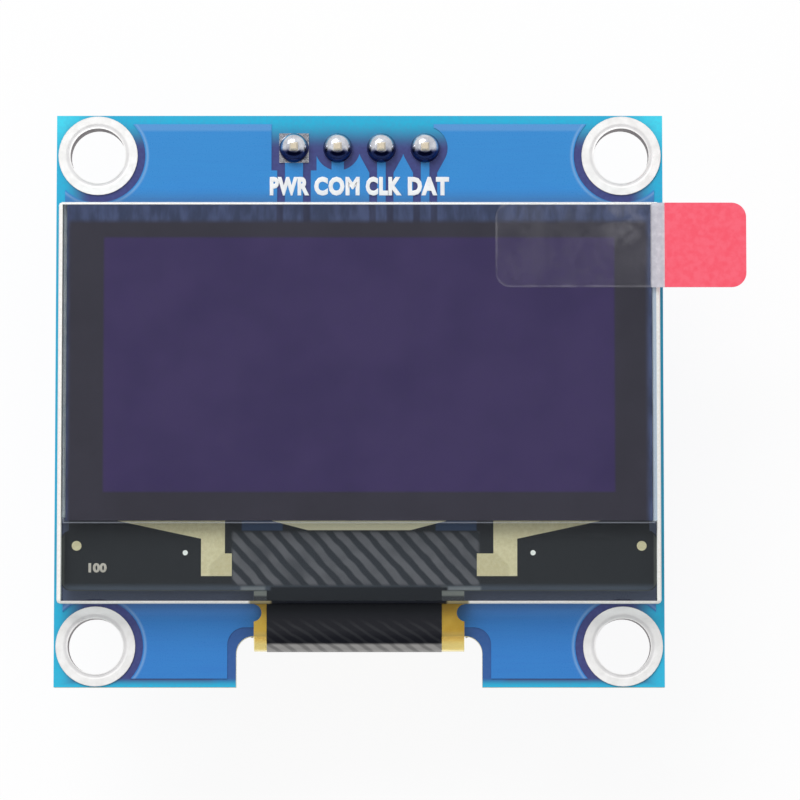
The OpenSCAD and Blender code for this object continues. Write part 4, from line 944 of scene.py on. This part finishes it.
def stage_world():
    """A white room, with dark patches in its reflections low on the front side, above and below."""
    world = bpy.data.worlds.new("studio")
    bpy.context.scene.world = world
    world.use_nodes = True
    tree = world.node_tree
    back = tree.nodes["Background"]
    place = tree.nodes.new("ShaderNodeTexCoord")
    paths = tree.nodes.new("ShaderNodeLightPath")

    def patch(direction, start, full, darkness):
        toward = tree.nodes.new("ShaderNodeVectorMath")
        toward.operation = "DOT_PRODUCT"
        toward.inputs[1].default_value = Vector(direction).normalized()
        tree.links.new(place.outputs["Generated"], toward.inputs[0])
        made = tree.nodes.new("ShaderNodeMapRange")
        made.interpolation_type = "SMOOTHSTEP"
        made.inputs["From Min"].default_value = start
        made.inputs["From Max"].default_value = full
        made.inputs["To Max"].default_value = darkness
        tree.links.new(toward.outputs["Value"], made.inputs["Value"])
        return made.outputs["Result"]

    def join(operation, *values):
        result = values[0]
        for value in values[1:]:
            made = tree.nodes.new("ShaderNodeMath")
            made.operation = operation
            tree.links.new(result, made.inputs[0])
            tree.links.new(value, made.inputs[1])
            result = made.outputs[0]
        return result

    patches = (patch(*spec) for spec in (DARK_CARD, CARD_FOOT, DARK_ABOVE, DARK_BELOW))
    dark = join("MULTIPLY", join("MAXIMUM", *patches), paths.outputs["Is Glossy Ray"])
    shown = tree.nodes.new("ShaderNodeMix")
    shown.data_type = "RGBA"
    shown.inputs[6].default_value = (1, 1, 1, 1)
    shown.inputs[7].default_value = PATCH_COLOUR
    tree.links.new(dark, shown.inputs[0])
    tree.links.new(shown.outputs[2], back.inputs["Color"])
    full = join("MAXIMUM", paths.outputs["Is Camera Ray"], paths.outputs["Is Glossy Ray"],
                paths.outputs["Is Transmission Ray"])
    strength = tree.nodes.new("ShaderNodeMapRange")
    strength.inputs["To Min"].default_value = ROOM_LIGHT
    strength.inputs["To Max"].default_value = 1.0
    tree.links.new(full, strength.inputs["Value"])
    tree.links.new(strength.outputs["Result"], back.inputs["Strength"])


CAMERA_DISTANCE = 0.27
CAMERA_RISE = math.radians(85)
HALF_VIEW = math.radians(4.9)
SENSOR = 36  # millimetres


def stage_camera():
    """A camera that looks down on the display, a little from its lower edge."""
    middle = (part_low + part_high) / 2
    aim = Vector((middle.x, middle.y, 0.0))
    toward_camera = Vector((0, -math.cos(CAMERA_RISE), math.sin(CAMERA_RISE)))
    camera = bpy.data.objects.new("camera", bpy.data.cameras.new("camera"))
    camera.data.sensor_width = SENSOR
    camera.data.lens = SENSOR / 2 / math.tan(HALF_VIEW)
    camera.data.clip_start = 0.01
    camera.data.clip_end = 10
    camera.location = aim + toward_camera * CAMERA_DISTANCE
    camera.rotation_mode = "QUATERNION"
    camera.rotation_quaternion = (-toward_camera).to_track_quat("-Z", "Y")
    bpy.context.scene.collection.objects.link(camera)
    bpy.context.scene.camera = camera


stage_floor()
stage_world()
lamp("key", (-0.18, 0.42, 0.4), 0.35, 2.2)
lamp("under", (0.18, 0.42, -0.4), 0.35, 2.0)
stage_camera()
bpy.context.scene.view_settings.view_transform = "Standard"
